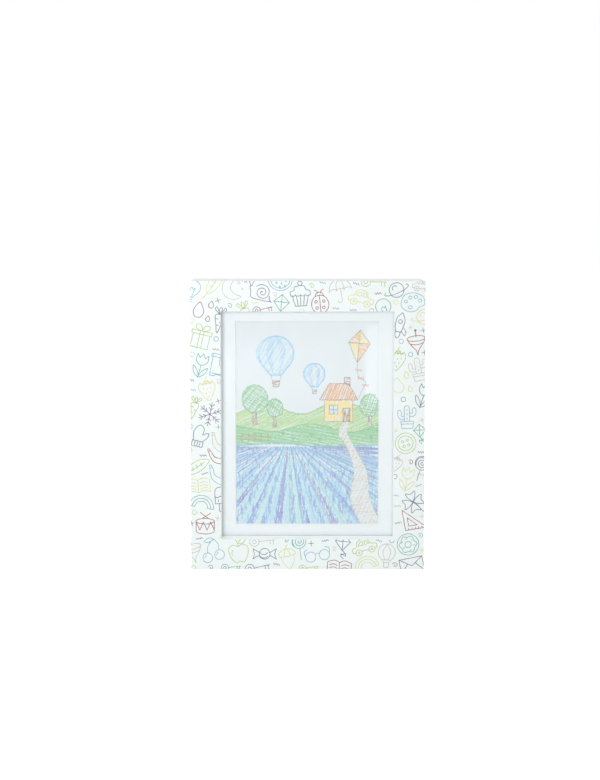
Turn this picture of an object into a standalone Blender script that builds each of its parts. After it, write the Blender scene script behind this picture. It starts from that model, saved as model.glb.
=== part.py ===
"""A front-opening art frame for children's A4 drawings.

A printed door frame carries a clear cover, a mat and the drawing on show. It is hinged at its left edge on a
shallow box, which stores more drawings behind two elastic straps and hangs on a wall.

Metres, +Z up, +X to the viewer's right, and the printed front faces -Y. The origin lies in the bottom face, in the
middle of the width and of the depth.
"""

import math

import bmesh
import bpy
from mathutils import Vector

# The drawing paper
SHEET_WIDTH = 0.210
SHEET_HEIGHT = 0.297
SHEET_THICKNESS = 0.0003
STACK_THICKNESS = 0.008

# The mat, whose window is smaller than the sheet and whose border fills the door's opening
MAT_OVERLAP = 0.005
MAT_SIDE_BORDER = 0.020
MAT_END_BORDER = 0.016
MAT_THICKNESS = 0.0015
MAT_BEVEL = 0.0012

# The corner pockets that hold the sheet to the back of the mat
POCKET_LEG = 0.034
POCKET_FLANGE = 0.005
POCKET_FLOOR = 0.0003

# The door frame
RAIL_WIDTH = 0.0425
DOOR_THICKNESS = 0.020
LIP_THICKNESS = 0.0112
REBATE_WIDTH = 0.005
WRAP_THICKNESS = 0.0003
COVER_THICKNESS = 0.001
DOOR_GAP = 0.0005

# The box
BOX_DEPTH = 0.0245
BOX_WALL = 0.012
PANEL_THICKNESS = 0.003
PANEL_RECESS = 0.003
PANEL_REBATE = 0.006

# The flat points that are pushed into a rebate's wall to hold what lies in it
POINT_WIDTH = 0.008
POINT_THICKNESS = 0.0006
POINT_REACH = 0.0085
POINT_BITE = 0.0035
POINT_TIP = 0.0025
POINT_SIDE_SHARES = (-0.27, 0.27)

# The elastic straps and the staples at their ends
STRAP_WIDTH = 0.020
STRAP_THICKNESS = 0.001
STRAP_TAB = 0.009
STRAP_PITCH = 0.160
STAPLE_WIRE = 0.0009
STAPLE_CROWN = 0.010
STAPLE_LEG = 0.006

# The butt hinges
HINGE_LENGTH = 0.030
HINGE_INSET = 0.070
HINGE_OFFSET = 0.0008
KNUCKLE_RADIUS = 0.0019
KNUCKLE_GAP = 0.0003
KNUCKLES = 3
BOX_KNUCKLES = (0, 2)
DOOR_KNUCKLES = (1,)
PIN_RADIUS = 0.0009
PIN_CLEARANCE = 0.00015
PIN_HEAD_RADIUS = 0.0016
PIN_HEAD = 0.0007
LEAF_THICKNESS = 0.001
LEAF_MARGIN = 0.0022

# The hinge screws
SCREW_HEAD_RADIUS = 0.0020
SCREW_HEAD = 0.0009
SCREW_RADIUS = 0.0011
SCREW_LENGTH = 0.010
SCREW_TIP = 0.0020
SCREW_TIP_RADIUS = 0.0003
SCREW_END_MARGIN = 0.006
SCREW_SINK = 0.0001
CROSS_LENGTH = 0.0022
CROSS_WIDTH = 0.0005
CROSS_DEPTH = 0.0006

# The magnets and the discs that they pull
MAGNET_RADIUS = 0.004
MAGNET_THICKNESS = 0.003
MAGNET_INSET = 0.045
DISC_THICKNESS = 0.001

# The sawtooth hanger and its rivets
HANGER_WIDTH = 0.046
HANGER_HEIGHT = 0.010
HANGER_THICKNESS = 0.001
HANGER_DROP = 0.016
HANGER_TEETH = 9
TOOTH_PITCH = 0.0028
TOOTH_DEPTH = 0.0016
RIVET_END_MARGIN = 0.0065
RIVET_RADIUS = 0.0012
RIVET_HEAD_RADIUS = 0.0024
RIVET_HEAD = 0.0007

# Clearances: between faces that touch, round a panel dropped into a rebate and across a glued mitre, then how far
# a cutter passes the face that it cuts
SEAT_GAP = 0.0003
DROP_IN_GAP = 0.0005
MITRE_GAP = 0.0003
OVERRUN = 0.001

ROUND_SIDES = 24
SMALL_SIDES = 16
SHARP_ANGLE = math.radians(35)

# The sizes that follow
WINDOW_WIDTH = SHEET_WIDTH - 2 * MAT_OVERLAP
WINDOW_HEIGHT = SHEET_HEIGHT - 2 * MAT_OVERLAP
OPENING_WIDTH = WINDOW_WIDTH + 2 * MAT_SIDE_BORDER
OPENING_HEIGHT = WINDOW_HEIGHT + 2 * MAT_END_BORDER
FRAME_WIDTH = OPENING_WIDTH + 2 * RAIL_WIDTH
FRAME_HEIGHT = OPENING_HEIGHT + 2 * RAIL_WIDTH
FRAME_DEPTH = DOOR_THICKNESS + DOOR_GAP + BOX_DEPTH
MIDDLE_Z = FRAME_HEIGHT / 2

# The door's layers, front to back
FRONT_Y = -FRAME_DEPTH / 2
LIP_BACK_Y = FRONT_Y + LIP_THICKNESS
COVER_FRONT_Y = LIP_BACK_Y + SEAT_GAP
COVER_BACK_Y = COVER_FRONT_Y + COVER_THICKNESS
MAT_FRONT_Y = COVER_BACK_Y + SEAT_GAP
MAT_BACK_Y = MAT_FRONT_Y + MAT_THICKNESS
SHEET_FRONT_Y = MAT_BACK_Y + SEAT_GAP
SHEET_BACK_Y = SHEET_FRONT_Y + SHEET_THICKNESS
POCKET_BACK_Y = SHEET_BACK_Y + SEAT_GAP + POCKET_FLOOR
DOOR_BACK_Y = FRONT_Y + DOOR_THICKNESS

# The box's layers, front to back
BOX_FRONT_Y = DOOR_BACK_Y + DOOR_GAP
BOX_BACK_Y = BOX_FRONT_Y + BOX_DEPTH
PANEL_BACK_Y = BOX_BACK_Y - PANEL_RECESS
PANEL_FRONT_Y = PANEL_BACK_Y - PANEL_THICKNESS
STACK_BACK_Y = PANEL_FRONT_Y - SEAT_GAP
STACK_FRONT_Y = STACK_BACK_Y - STACK_THICKNESS
STRAP_BACK_Y = STACK_FRONT_Y - SEAT_GAP
STRAP_FRONT_Y = STRAP_BACK_Y - STRAP_THICKNESS

# The places across the frame
WRAP_BUILD = WRAP_THICKNESS + SEAT_GAP
REBATE_INSET = RAIL_WIDTH - REBATE_WIDTH
PANEL_INSET = BOX_WALL - PANEL_REBATE
CAVITY_HALF_WIDTH = FRAME_WIDTH / 2 - BOX_WALL
HINGE_X = -FRAME_WIDTH / 2 - HINGE_OFFSET
HINGE_Y = (DOOR_BACK_Y + BOX_FRONT_Y) / 2
HINGE_PLACES = {"upper": FRAME_HEIGHT - HINGE_INSET, "lower": HINGE_INSET}
LEAF_CLEAR_X = KNUCKLE_RADIUS + SEAT_GAP
LEAF_END_X = HINGE_OFFSET + BOX_WALL - LEAF_MARGIN
SCREW_X = HINGE_X + (LEAF_CLEAR_X + LEAF_END_X) / 2
MAGNET_X = FRAME_WIDTH / 2 - BOX_WALL / 2
MAGNET_PLACES = {"upper": FRAME_HEIGHT - MAGNET_INSET, "lower": MAGNET_INSET}

SIDES = ("top", "bottom", "left", "right")
BOTH_ENDS = (-1, 1)


def finish(name, colour, roughness, metallic=0.0, clear=0.0):
    """A plain Principled material."""
    material = bpy.data.materials.new(name)
    material.use_nodes = True
    shader = material.node_tree.nodes["Principled BSDF"]
    shader.inputs["Base Color"].default_value = (*colour, 1.0)
    shader.inputs["Roughness"].default_value = roughness
    shader.inputs["Metallic"].default_value = metallic
    shader.inputs["Transmission Weight"].default_value = clear
    return material


def materials():
    """One finish for each kind of sub-part."""
    return {
        "rail": finish("rail_board", (0.80, 0.76, 0.68), 0.70),
        "wrap": finish("printed_wrap_paper", (0.91, 0.94, 0.93), 0.45),
        "wall": finish("box_lacquer", (0.90, 0.92, 0.92), 0.50),
        "panel": finish("hardboard", (0.45, 0.32, 0.21), 0.75),
        "cover": finish("clear_acrylic", (1.0, 1.0, 1.0), 0.03, clear=1.0),
        "mat": finish("mat_card", (0.90, 0.92, 0.93), 0.85),
        "paper": finish("drawing_paper", (0.84, 0.87, 0.86), 0.90),
        "pocket": finish("pocket_card", (0.86, 0.86, 0.84), 0.80),
        "strap": finish("woven_elastic", (0.85, 0.85, 0.84), 0.90),
        "zinc": finish("zinc_plate", (0.66, 0.67, 0.68), 0.35, 1.0),
        "steel": finish("bright_steel", (0.62, 0.62, 0.63), 0.25, 1.0),
        "magnet": finish("nickel_magnet", (0.70, 0.69, 0.67), 0.18, 1.0),
    }


def add_object(name, mesh, material, centre, parent=None, turn=None):
    """Links a mesh to the scene with its origin at the given world point."""
    obj = bpy.data.objects.new(name, mesh)
    if material and not mesh.materials:
        mesh.materials.append(material)
    bpy.context.scene.collection.objects.link(obj)
    obj.location = Vector(centre)
    if parent:
        obj.parent = parent
        obj.location -= parent.location
    if turn:
        obj.rotation_mode = "QUATERNION"
        obj.rotation_quaternion = turn
    return obj


def finished_mesh(name, bm, smooth=False):
    """Turns a bmesh into a mesh whose faces point out."""
    bmesh.ops.recalc_face_normals(bm, faces=bm.faces)
    mesh = bpy.data.meshes.new(name)
    bm.to_mesh(mesh)
    bm.free()
    if smooth:
        mesh.shade_smooth()
        mesh.set_sharp_from_angle(angle=SHARP_ANGLE)
    return mesh


def slab(name, low, high, material=None, parent=None):
    """A box between two world corners, with its origin at its centre."""
    low = Vector(low)
    high = Vector(high)
    bm = bmesh.new()
    bmesh.ops.create_cube(bm, size=1.0)
    bmesh.ops.scale(bm, vec=high - low, verts=bm.verts)
    return add_object(name, finished_mesh(name, bm), material, (low + high) / 2, parent)


def panel(name, half_width, half_height, front_y, back_y, material, parent=None):
    """A flat sheet centred on the frame."""
    low = (-half_width, front_y, MIDDLE_Z - half_height)
    high = (half_width, back_y, MIDDLE_Z + half_height)
    return slab(name, low, high, material, parent)


def prism(name, outline, reach, centre, material=None, parent=None, smooth=False):
    """An outline of local points, extruded along the vector reach."""
    bm = bmesh.new()
    face = bm.faces.new([bm.verts.new(point) for point in outline])
    swept = bmesh.ops.extrude_face_region(bm, geom=[face])["geom"]
    moved = [item for item in swept if isinstance(item, bmesh.types.BMVert)]
    bmesh.ops.translate(bm, vec=reach, verts=moved)
    return add_object(name, finished_mesh(name, bm, smooth), material, centre, parent)


def turned(name, profile, centre, toward, sides, material=None, parent=None):
    """A closed turning: (radius, height) pairs along the direction toward, capped at both ends."""
    bm = bmesh.new()
    rings = []
    for radius, height in profile:
        ring = []
        for step in range(sides):
            angle = math.tau * step / sides
            ring.append(bm.verts.new((radius * math.cos(angle), radius * math.sin(angle), height)))
        rings.append(ring)
    for lower, upper in zip(rings, rings[1:]):
        for step in range(sides):
            after = (step + 1) % sides
            bm.faces.new((lower[step], lower[after], upper[after], upper[step]))
    bm.faces.new(rings[0])
    bm.faces.new(rings[-1])
    turn = Vector((0, 0, 1)).rotation_difference(Vector(toward))
    return add_object(name, finished_mesh(name, bm, True), material, centre, parent, turn)


def ring(name, section, material, parent=None):
    """A closed section of (half width, half height, y) points, carried round the frame's centre with mitred corners."""
    bm = bmesh.new()
    corners = []
    for across, up in ((-1, -1), (1, -1), (1, 1), (-1, 1)):
        corners.append([bm.verts.new((across * x, y, up * z)) for x, z, y in section])
    for here, following in zip(corners, corners[1:] + corners[:1]):
        for step in range(len(section)):
            after = (step + 1) % len(section)
            bm.faces.new((here[step], here[after], following[after], following[step]))
    return add_object(name, finished_mesh(name, bm), material, (0, 0, MIDDLE_Z), parent)


def mitred_bar(name, section, side, material, parent=None):
    """One side of a frame: section holds (inset from the frame's outer edge, y) points, and both ends are mitred."""
    bm = bmesh.new()
    ends = []
    for end in BOTH_ENDS:
        points = []
        for inset, y in section:
            across = FRAME_WIDTH / 2 - inset
            up = FRAME_HEIGHT / 2 - inset
            pull = MITRE_GAP / math.sqrt(2)
            if side in ("top", "bottom"):
                points.append((end * (across - pull), y, up if side == "top" else -up))
            else:
                points.append((across if side == "right" else -across, y, end * (up - pull)))
        ends.append([bm.verts.new(point) for point in points])
    first, last = ends
    for step in range(len(section)):
        after = (step + 1) % len(section)
        bm.faces.new((first[step], first[after], last[after], last[step]))
    bm.faces.new(first)
    bm.faces.new(last)
    return add_object(name, finished_mesh(name, bm), material, (0, 0, MIDDLE_Z), parent)


def cut(target, *cutters):
    """Takes the cutters out of the target, all in one Boolean, and keeps them out of renders."""
    name = target.name + "_cuts"
    group = bpy.data.collections.get(name)
    if not group:
        group = bpy.data.collections.new(name)
        bpy.context.scene.collection.children.link(group)
        modifier = target.modifiers.new(name, "BOOLEAN")
        modifier.operation = "DIFFERENCE"
        modifier.operand_type = "COLLECTION"
        modifier.collection = group
    for cutter in cutters:
        group.objects.link(cutter)
        cutter.hide_render = True
        cutter.display_type = "WIRE"


def door_rails(kinds, pivot):
    """Four mitred rails with a rebate behind the lip."""
    section = (
        (WRAP_BUILD, FRONT_Y + WRAP_BUILD),
        (RAIL_WIDTH - WRAP_BUILD, FRONT_Y + WRAP_BUILD),
        (RAIL_WIDTH - WRAP_BUILD, LIP_BACK_Y),
        (REBATE_INSET, LIP_BACK_Y),
        (REBATE_INSET, DOOR_BACK_Y),
        (WRAP_BUILD, DOOR_BACK_Y),
    )
    return {side: mitred_bar(f"door_{side}_rail", section, side, kinds["rail"], pivot) for side in SIDES}


def printed_wrap(kinds, pivot):
    """The paper over the rails: the outer edge, the front face and the edge of the opening."""
    width, height = FRAME_WIDTH / 2, FRAME_HEIGHT / 2
    inner_width, inner_height = OPENING_WIDTH / 2, OPENING_HEIGHT / 2
    paper = WRAP_THICKNESS
    section = (
        (width, height, DOOR_BACK_Y),
        (width, height, FRONT_Y),
        (inner_width, inner_height, FRONT_Y),
        (inner_width, inner_height, LIP_BACK_Y),
        (inner_width + paper, inner_height + paper, LIP_BACK_Y),
        (inner_width + paper, inner_height + paper, FRONT_Y + paper),
        (width - paper, height - paper, FRONT_Y + paper),
        (width - paper, height - paper, DOOR_BACK_Y),
    )
    return ring("printed_wrap", section, kinds["wrap"], pivot)


def glazed_picture(kinds, pivot):
    """The clear cover, the bevelled mat and the drawing on show, in the door's rebate."""
    half_width = OPENING_WIDTH / 2 + REBATE_WIDTH - DROP_IN_GAP
    half_height = OPENING_HEIGHT / 2 + REBATE_WIDTH - DROP_IN_GAP
    panel("clear_cover", half_width, half_height, COVER_FRONT_Y, COVER_BACK_Y, kinds["cover"], pivot)
    section = (
        (half_width, half_height, MAT_FRONT_Y),
        (WINDOW_WIDTH / 2 + MAT_BEVEL, WINDOW_HEIGHT / 2 + MAT_BEVEL, MAT_FRONT_Y),
        (WINDOW_WIDTH / 2, WINDOW_HEIGHT / 2, MAT_BACK_Y),
        (half_width, half_height, MAT_BACK_Y),
    )
    ring("mat_board", section, kinds["mat"], pivot)
    half_width = SHEET_WIDTH / 2
    half_height = SHEET_HEIGHT / 2
    panel("displayed_sheet", half_width, half_height, SHEET_FRONT_Y, SHEET_BACK_Y, kinds["paper"], pivot)


def corner_pockets(kinds, pivot):
    """Four triangular pockets, glued to the mat's back, that the sheet's corners slide into."""
    sheet_space = panel(
        "pocket_space",
        SHEET_WIDTH / 2 + SEAT_GAP,
        SHEET_HEIGHT / 2 + SEAT_GAP,
        MAT_BACK_Y,
        SHEET_BACK_Y + SEAT_GAP,
        None,
    )
    across = SHEET_WIDTH / 2 + SEAT_GAP + POCKET_FLANGE
    up = SHEET_HEIGHT / 2 + SEAT_GAP + POCKET_FLANGE
    for side, x in (("left", -1), ("right", 1)):
        for level, z in (("upper", 1), ("lower", -1)):
            outline = ((0, 0, 0), (-x * POCKET_LEG, 0, 0), (0, 0, -z * POCKET_LEG))
            corner = (x * across, SHEET_FRONT_Y, MIDDLE_Z + z * up)
            reach = (0, POCKET_BACK_Y - SHEET_FRONT_Y, 0)
            pocket = prism(f"corner_pocket_{level}_{side}", outline, reach, corner, kinds["pocket"], pivot)
            cut(pocket, sheet_space)


def flat_point(name, x, z, outward, front_y, carrier, kinds, parent=None):
    """A flat steel point: its tip is in the rebate's wall at (x, z), and its tail lies over what the rebate holds."""
    side_x, side_z = outward
    outline = []
    for along, across in (
        (-POINT_REACH, -1),
        (POINT_BITE - POINT_TIP, -1),
        (POINT_BITE, 0),
        (POINT_BITE - POINT_TIP, 1),
        (-POINT_REACH, 1),
    ):
        across *= POINT_WIDTH / 2
        outline.append((along * side_x + across * side_z, 0, along * side_z - across * side_x))
    place = (x, front_y, z)
    prism(name, outline, (0, POINT_THICKNESS, 0), place, kinds["zinc"], parent)
    half = Vector((POINT_WIDTH / 2 + SEAT_GAP, POINT_THICKNESS / 2 + SEAT_GAP, POINT_WIDTH / 2 + SEAT_GAP))
    middle = Vector((x, front_y + POINT_THICKNESS / 2, z))
    mouth = middle - Vector((side_x, 0, side_z)) * OVERRUN
    foot = middle + Vector((side_x, 0, side_z)) * (POINT_BITE + SEAT_GAP)
    if side_x:
        half.x = 0
    else:
        half.z = 0
    low = Vector(map(min, mouth, foot)) - half
    high = Vector(map(max, mouth, foot)) + half
    cut(carrier, slab(name + "_slot", low, high))


def ring_of_points(prefix, half_width, half_height, front_y, carriers, kinds, parent=None):
    """Six points round a rebate: two in each upright and one in each crosspiece."""
    for level, share in zip(("lower", "upper"), POINT_SIDE_SHARES):
        z = MIDDLE_Z + share * 2 * half_height
        for side, x in (("left", -1), ("right", 1)):
            name = f"{prefix}_{level}_{side}"
            flat_point(name, x * half_width, z, (x, 0), front_y, carriers[side], kinds, parent)
    for side, z in (("top", 1), ("bottom", -1)):
        place_z = MIDDLE_Z + z * half_height
        flat_point(f"{prefix}_{side}", 0, place_z, (0, z), front_y, carriers[side], kinds, parent)


def box_walls(kinds):
    """Four mitred walls with a rebate at the back for the panel."""
    section = (
        (0, BOX_FRONT_Y),
        (BOX_WALL, BOX_FRONT_Y),
        (BOX_WALL, PANEL_FRONT_Y - SEAT_GAP),
        (PANEL_INSET, PANEL_FRONT_Y - SEAT_GAP),
        (PANEL_INSET, BOX_BACK_Y),
        (0, BOX_BACK_Y),
    )
    return {side: mitred_bar(f"box_{side}_wall", section, side, kinds["wall"]) for side in SIDES}


def stored_sheets(kinds):
    """The drawings kept in the box, flat against the back panel."""
    panel("stored_sheets", SHEET_WIDTH / 2, SHEET_HEIGHT / 2, STACK_FRONT_Y, STACK_BACK_Y, kinds["paper"])


def strap_staple(name, side, z, targets, kinds):
    """A staple through a strap's end into the box's wall. Its legs point along side * X."""
    crown_x = side * (CAVITY_HALF_WIDTH - SEAT_GAP - STRAP_THICKNESS - SEAT_GAP - STAPLE_WIRE)
    y = (STRAP_BACK_Y + STRAP_FRONT_Y + STRAP_TAB - STAPLE_WIRE) / 2
    crown = STAPLE_CROWN / 2
    leg = side * STAPLE_LEG
    wire = side * STAPLE_WIRE
    outline = (
        (0, 0, -crown),
        (leg, 0, -crown),
        (leg, 0, STAPLE_WIRE - crown),
        (wire, 0, STAPLE_WIRE - crown),
        (wire, 0, crown - STAPLE_WIRE),
        (leg, 0, crown - STAPLE_WIRE),
        (leg, 0, crown),
        (0, 0, crown),
    )
    prism(name, outline, (0, STAPLE_WIRE, 0), (crown_x, y, z), kinds["zinc"])
    for end in BOTH_ENDS:
        mouth = (crown_x + wire, y - SEAT_GAP, z + end * (crown + SEAT_GAP))
        foot = (
            crown_x + leg + side * SEAT_GAP,
            y + STAPLE_WIRE + SEAT_GAP,
            z + end * (crown - STAPLE_WIRE - SEAT_GAP),
        )
        low = tuple(map(min, mouth, foot))
        high = tuple(map(max, mouth, foot))
        hole = slab(f"{name}_hole_{'upper' if end > 0 else 'lower'}", low, high)
        for target in targets:
            cut(target, hole)


def elastic_straps(walls, kinds):
    """Two elastic straps across the box, each with its ends turned back along the side walls."""
    outer = CAVITY_HALF_WIDTH - SEAT_GAP
    inner = outer - STRAP_THICKNESS
    tab_y = STRAP_TAB
    outline = (
        (-outer, tab_y, 0),
        (-outer, 0, 0),
        (outer, 0, 0),
        (outer, tab_y, 0),
        (inner, tab_y, 0),
        (inner, STRAP_THICKNESS, 0),
        (-inner, STRAP_THICKNESS, 0),
        (-inner, tab_y, 0),
    )
    for level, end in (("upper", 1), ("lower", -1)):
        z = MIDDLE_Z + end * STRAP_PITCH / 2
        place = (0, STRAP_FRONT_Y, z - STRAP_WIDTH / 2)
        strap = prism(f"elastic_strap_{level}", outline, (0, 0, STRAP_WIDTH), place, kinds["strap"])
        for side, x in (("left", -1), ("right", 1)):
            strap_staple(f"strap_staple_{level}_{side}", x, z, (strap, walls[side]), kinds)


def back_panel(kinds):
    """The hardboard panel in the walls' rebate."""
    half_width = FRAME_WIDTH / 2 - PANEL_INSET - DROP_IN_GAP
    half_height = FRAME_HEIGHT / 2 - PANEL_INSET - DROP_IN_GAP
    return panel("back_panel", half_width, half_height, PANEL_FRONT_Y, PANEL_BACK_Y, kinds["panel"])


def sawtooth_hanger(board, kinds):
    """A toothed hanger, riveted to the panel inside the recess at the back."""
    half_width = HANGER_WIDTH / 2
    half_height = HANGER_HEIGHT / 2
    toothed = HANGER_TEETH * TOOTH_PITCH / 2
    outline = [(-half_width, 0, half_height), (-half_width, 0, -half_height), (-toothed, 0, -half_height)]
    for tooth in range(HANGER_TEETH):
        start = tooth * TOOTH_PITCH - toothed
        outline.append((start + TOOTH_PITCH / 2, 0, TOOTH_DEPTH - half_height))
        outline.append((start + TOOTH_PITCH, 0, -half_height))
    outline += [(half_width, 0, -half_height), (half_width, 0, half_height)]
    centre_z = FRAME_HEIGHT - PANEL_INSET - HANGER_DROP
    hanger_y = PANEL_BACK_Y + SEAT_GAP
    place = (0, hanger_y, centre_z)
    hanger = prism("sawtooth_hanger", outline, (0, HANGER_THICKNESS, 0), place, kinds["zinc"])
    grip = PANEL_THICKNESS + HANGER_THICKNESS + 3 * SEAT_GAP
    profile = (
        (RIVET_HEAD_RADIUS, 0),
        (RIVET_HEAD_RADIUS, RIVET_HEAD),
        (RIVET_RADIUS, RIVET_HEAD),
        (RIVET_RADIUS, RIVET_HEAD + grip),
        (RIVET_HEAD_RADIUS, RIVET_HEAD + grip),
        (RIVET_HEAD_RADIUS, RIVET_HEAD + grip + RIVET_HEAD),
    )
    hole = ((RIVET_RADIUS + SEAT_GAP, 0), (RIVET_RADIUS + SEAT_GAP, grip + 2 * OVERRUN))
    for side, x in (("left", -1), ("right", 1)):
        rivet_x = x * (half_width - RIVET_END_MARGIN)
        start = (rivet_x, PANEL_FRONT_Y - SEAT_GAP - RIVET_HEAD, centre_z)
        turned(f"hanger_rivet_{side}", profile, start, (0, 1, 0), SMALL_SIDES, kinds["steel"])
        mouth = (rivet_x, PANEL_FRONT_Y - OVERRUN, centre_z)
        bore = turned(f"rivet_hole_{side}", hole, mouth, (0, 1, 0), SMALL_SIDES)
        cut(board, bore)
        cut(hanger, bore)


def leaf_outline(side):
    """A leaf's section round the joint's axis: the knuckle's circle, then the flat plate. Side is 1 on the box."""
    near = DOOR_GAP / 2
    far = near + LEAF_THICKNESS
    start = math.asin(near / KNUCKLE_RADIUS)
    sweep = math.tau - (math.asin(far / KNUCKLE_RADIUS) - start)
    outline = [(LEAF_END_X, side * far, 0), (LEAF_END_X, side * near, 0)]
    for step in range(ROUND_SIDES + 1):
        angle = start - sweep * step / ROUND_SIDES
        outline.append((KNUCKLE_RADIUS * math.cos(angle), side * KNUCKLE_RADIUS * math.sin(angle), 0))
    return outline


def hinge_screw(name, z, leaf, carrier, side, kinds, parent):
    """A countersunk screw through a leaf. Side is 1 for the box, where the screw points along +Y."""
    face_y = HINGE_Y + side * DOOR_GAP / 2
    toward = (0, side, 0)
    head_top = SCREW_SINK
    head_end = SCREW_SINK + SCREW_HEAD
    profile = (
        (SCREW_HEAD_RADIUS, head_top),
        (SCREW_RADIUS, head_end),
        (SCREW_RADIUS, SCREW_LENGTH - SCREW_TIP),
        (SCREW_TIP_RADIUS, SCREW_LENGTH),
    )
    place = (SCREW_X, face_y, z)
    screw = turned(name, profile, place, toward, SMALL_SIDES, kinds["steel"], parent)
    half_length = CROSS_LENGTH / 2
    half_width = CROSS_WIDTH / 2
    outline = []
    for x, z_sign in ((1, 1), (-1, 1), (-1, -1), (1, -1)):
        arms = [
            (x * half_length, 0, z_sign * half_width),
            (x * half_width, 0, z_sign * half_width),
            (x * half_width, 0, z_sign * half_length),
        ]
        outline += arms if x * z_sign > 0 else arms[::-1]
    mouth = (SCREW_X, face_y - side * OVERRUN, z)
    depth = OVERRUN + SCREW_SINK + CROSS_DEPTH
    cut(screw, prism(name + "_cross", outline, (0, side * depth, 0), mouth))
    countersink = (
        (SCREW_HEAD_RADIUS + SEAT_GAP, -OVERRUN),
        (SCREW_HEAD_RADIUS + SEAT_GAP, head_top),
        (SCREW_RADIUS + SEAT_GAP, head_end),
        (SCREW_RADIUS + SEAT_GAP, SCREW_LENGTH + SEAT_GAP),
    )
    hole = turned(name + "_hole", countersink, place, toward, SMALL_SIDES)
    cut(leaf, hole)
    cut(carrier, hole)


def hinge_leaf(name, side, z, own, carriers, kinds, parent):
    """A leaf with its knuckles, let into its carrier. Own says which of the knuckles, counted upwards, are its own."""
    start_z = z - HINGE_LENGTH / 2
    place = (HINGE_X, HINGE_Y, start_z)
    reach = (0, 0, HINGE_LENGTH)
    leaf = prism(name, leaf_outline(side), reach, place, kinds["steel"], parent, smooth=True)
    knuckle = HINGE_LENGTH / KNUCKLES
    for number in range(KNUCKLES):
        if number in own:
            continue
        bottom = start_z + number * knuckle - KNUCKLE_GAP / 2
        top = bottom + knuckle + KNUCKLE_GAP
        if number == 0:
            bottom -= OVERRUN
        if number == KNUCKLES - 1:
            top += OVERRUN
        low = (HINGE_X - LEAF_CLEAR_X, HINGE_Y - LEAF_CLEAR_X, bottom)
        high = (HINGE_X + LEAF_CLEAR_X, HINGE_Y + LEAF_CLEAR_X, top)
        cut(leaf, slab(f"{name}_notch_{number}", low, high))
    bore_radius = PIN_RADIUS + PIN_CLEARANCE
    bore = ((bore_radius, -OVERRUN), (bore_radius, HINGE_LENGTH + OVERRUN))
    cut(leaf, turned(name + "_bore", bore, place, (0, 0, 1), ROUND_SIDES))
    head_room = SEAT_GAP + PIN_HEAD + SEAT_GAP
    groove = ((LEAF_CLEAR_X, -head_room), (LEAF_CLEAR_X, HINGE_LENGTH + head_room))
    groove = turned(name + "_groove", groove, place, (0, 0, 1), ROUND_SIDES)
    far = HINGE_Y + side * (DOOR_GAP / 2 + LEAF_THICKNESS + SEAT_GAP)
    bed = slab(
        name + "_bed",
        (HINGE_X, min(HINGE_Y, far), start_z - SEAT_GAP),
        (HINGE_X + LEAF_END_X + SEAT_GAP, max(HINGE_Y, far), start_z + HINGE_LENGTH + SEAT_GAP),
    )
    for carrier in carriers:
        cut(carrier, groove, bed)
    return leaf


def butt_hinges(walls, rails, wrap, pivot, kinds):
    """Two hinges: the box's leaf has the outer knuckles, the door's leaf the middle one, and the pin is the box's."""
    pin_length = HINGE_LENGTH + 2 * SEAT_GAP
    pin = (
        (PIN_HEAD_RADIUS, 0),
        (PIN_HEAD_RADIUS, PIN_HEAD),
        (PIN_RADIUS, PIN_HEAD),
        (PIN_RADIUS, PIN_HEAD + pin_length),
        (PIN_HEAD_RADIUS, PIN_HEAD + pin_length),
        (PIN_HEAD_RADIUS, PIN_HEAD + pin_length + PIN_HEAD),
    )
    for level, z in HINGE_PLACES.items():
        box_name = f"hinge_{level}_box_leaf"
        door_name = f"hinge_{level}_door_leaf"
        box_leaf = hinge_leaf(box_name, 1, z, BOX_KNUCKLES, (walls["left"],), kinds, None)
        door_leaf = hinge_leaf(door_name, -1, z, DOOR_KNUCKLES, (rails["left"], wrap), kinds, pivot)
        start = (HINGE_X, HINGE_Y, z - pin_length / 2 - PIN_HEAD)
        turned(f"hinge_{level}_pin", pin, start, (0, 0, 1), ROUND_SIDES, kinds["steel"])
        for end_name, end in (("top", 1), ("bottom", -1)):
            screw_z = z + end * (HINGE_LENGTH / 2 - SCREW_END_MARGIN)
            name = f"hinge_{level}_{{}}_screw_{end_name}"
            hinge_screw(name.format("box"), screw_z, box_leaf, walls["left"], 1, kinds, None)
            hinge_screw(name.format("door"), screw_z, door_leaf, rails["left"], -1, kinds, pivot)


def closing_magnets(walls, rails, pivot, kinds):
    """Magnets let into the box's right wall, and steel discs let into the door opposite them."""
    for level, z in MAGNET_PLACES.items():
        magnet = ((MAGNET_RADIUS, 0), (MAGNET_RADIUS, MAGNET_THICKNESS))
        place = (MAGNET_X, BOX_FRONT_Y, z)
        turned(f"magnet_{level}", magnet, place, (0, 1, 0), ROUND_SIDES, kinds["magnet"])
        pocket = (
            (MAGNET_RADIUS + SEAT_GAP, -OVERRUN),
            (MAGNET_RADIUS + SEAT_GAP, MAGNET_THICKNESS + SEAT_GAP),
        )
        cut(walls["right"], turned(f"magnet_bed_{level}", pocket, place, (0, 1, 0), ROUND_SIDES))
        disc = ((MAGNET_RADIUS, 0), (MAGNET_RADIUS, DISC_THICKNESS))
        place = (MAGNET_X, DOOR_BACK_Y, z)
        turned(f"strike_disc_{level}", disc, place, (0, -1, 0), ROUND_SIDES, kinds["steel"], pivot)
        pocket = (
            (MAGNET_RADIUS + SEAT_GAP, -OVERRUN),
            (MAGNET_RADIUS + SEAT_GAP, DISC_THICKNESS + SEAT_GAP),
        )
        cut(rails["right"], turned(f"strike_bed_{level}", pocket, place, (0, -1, 0), ROUND_SIDES))


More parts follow.
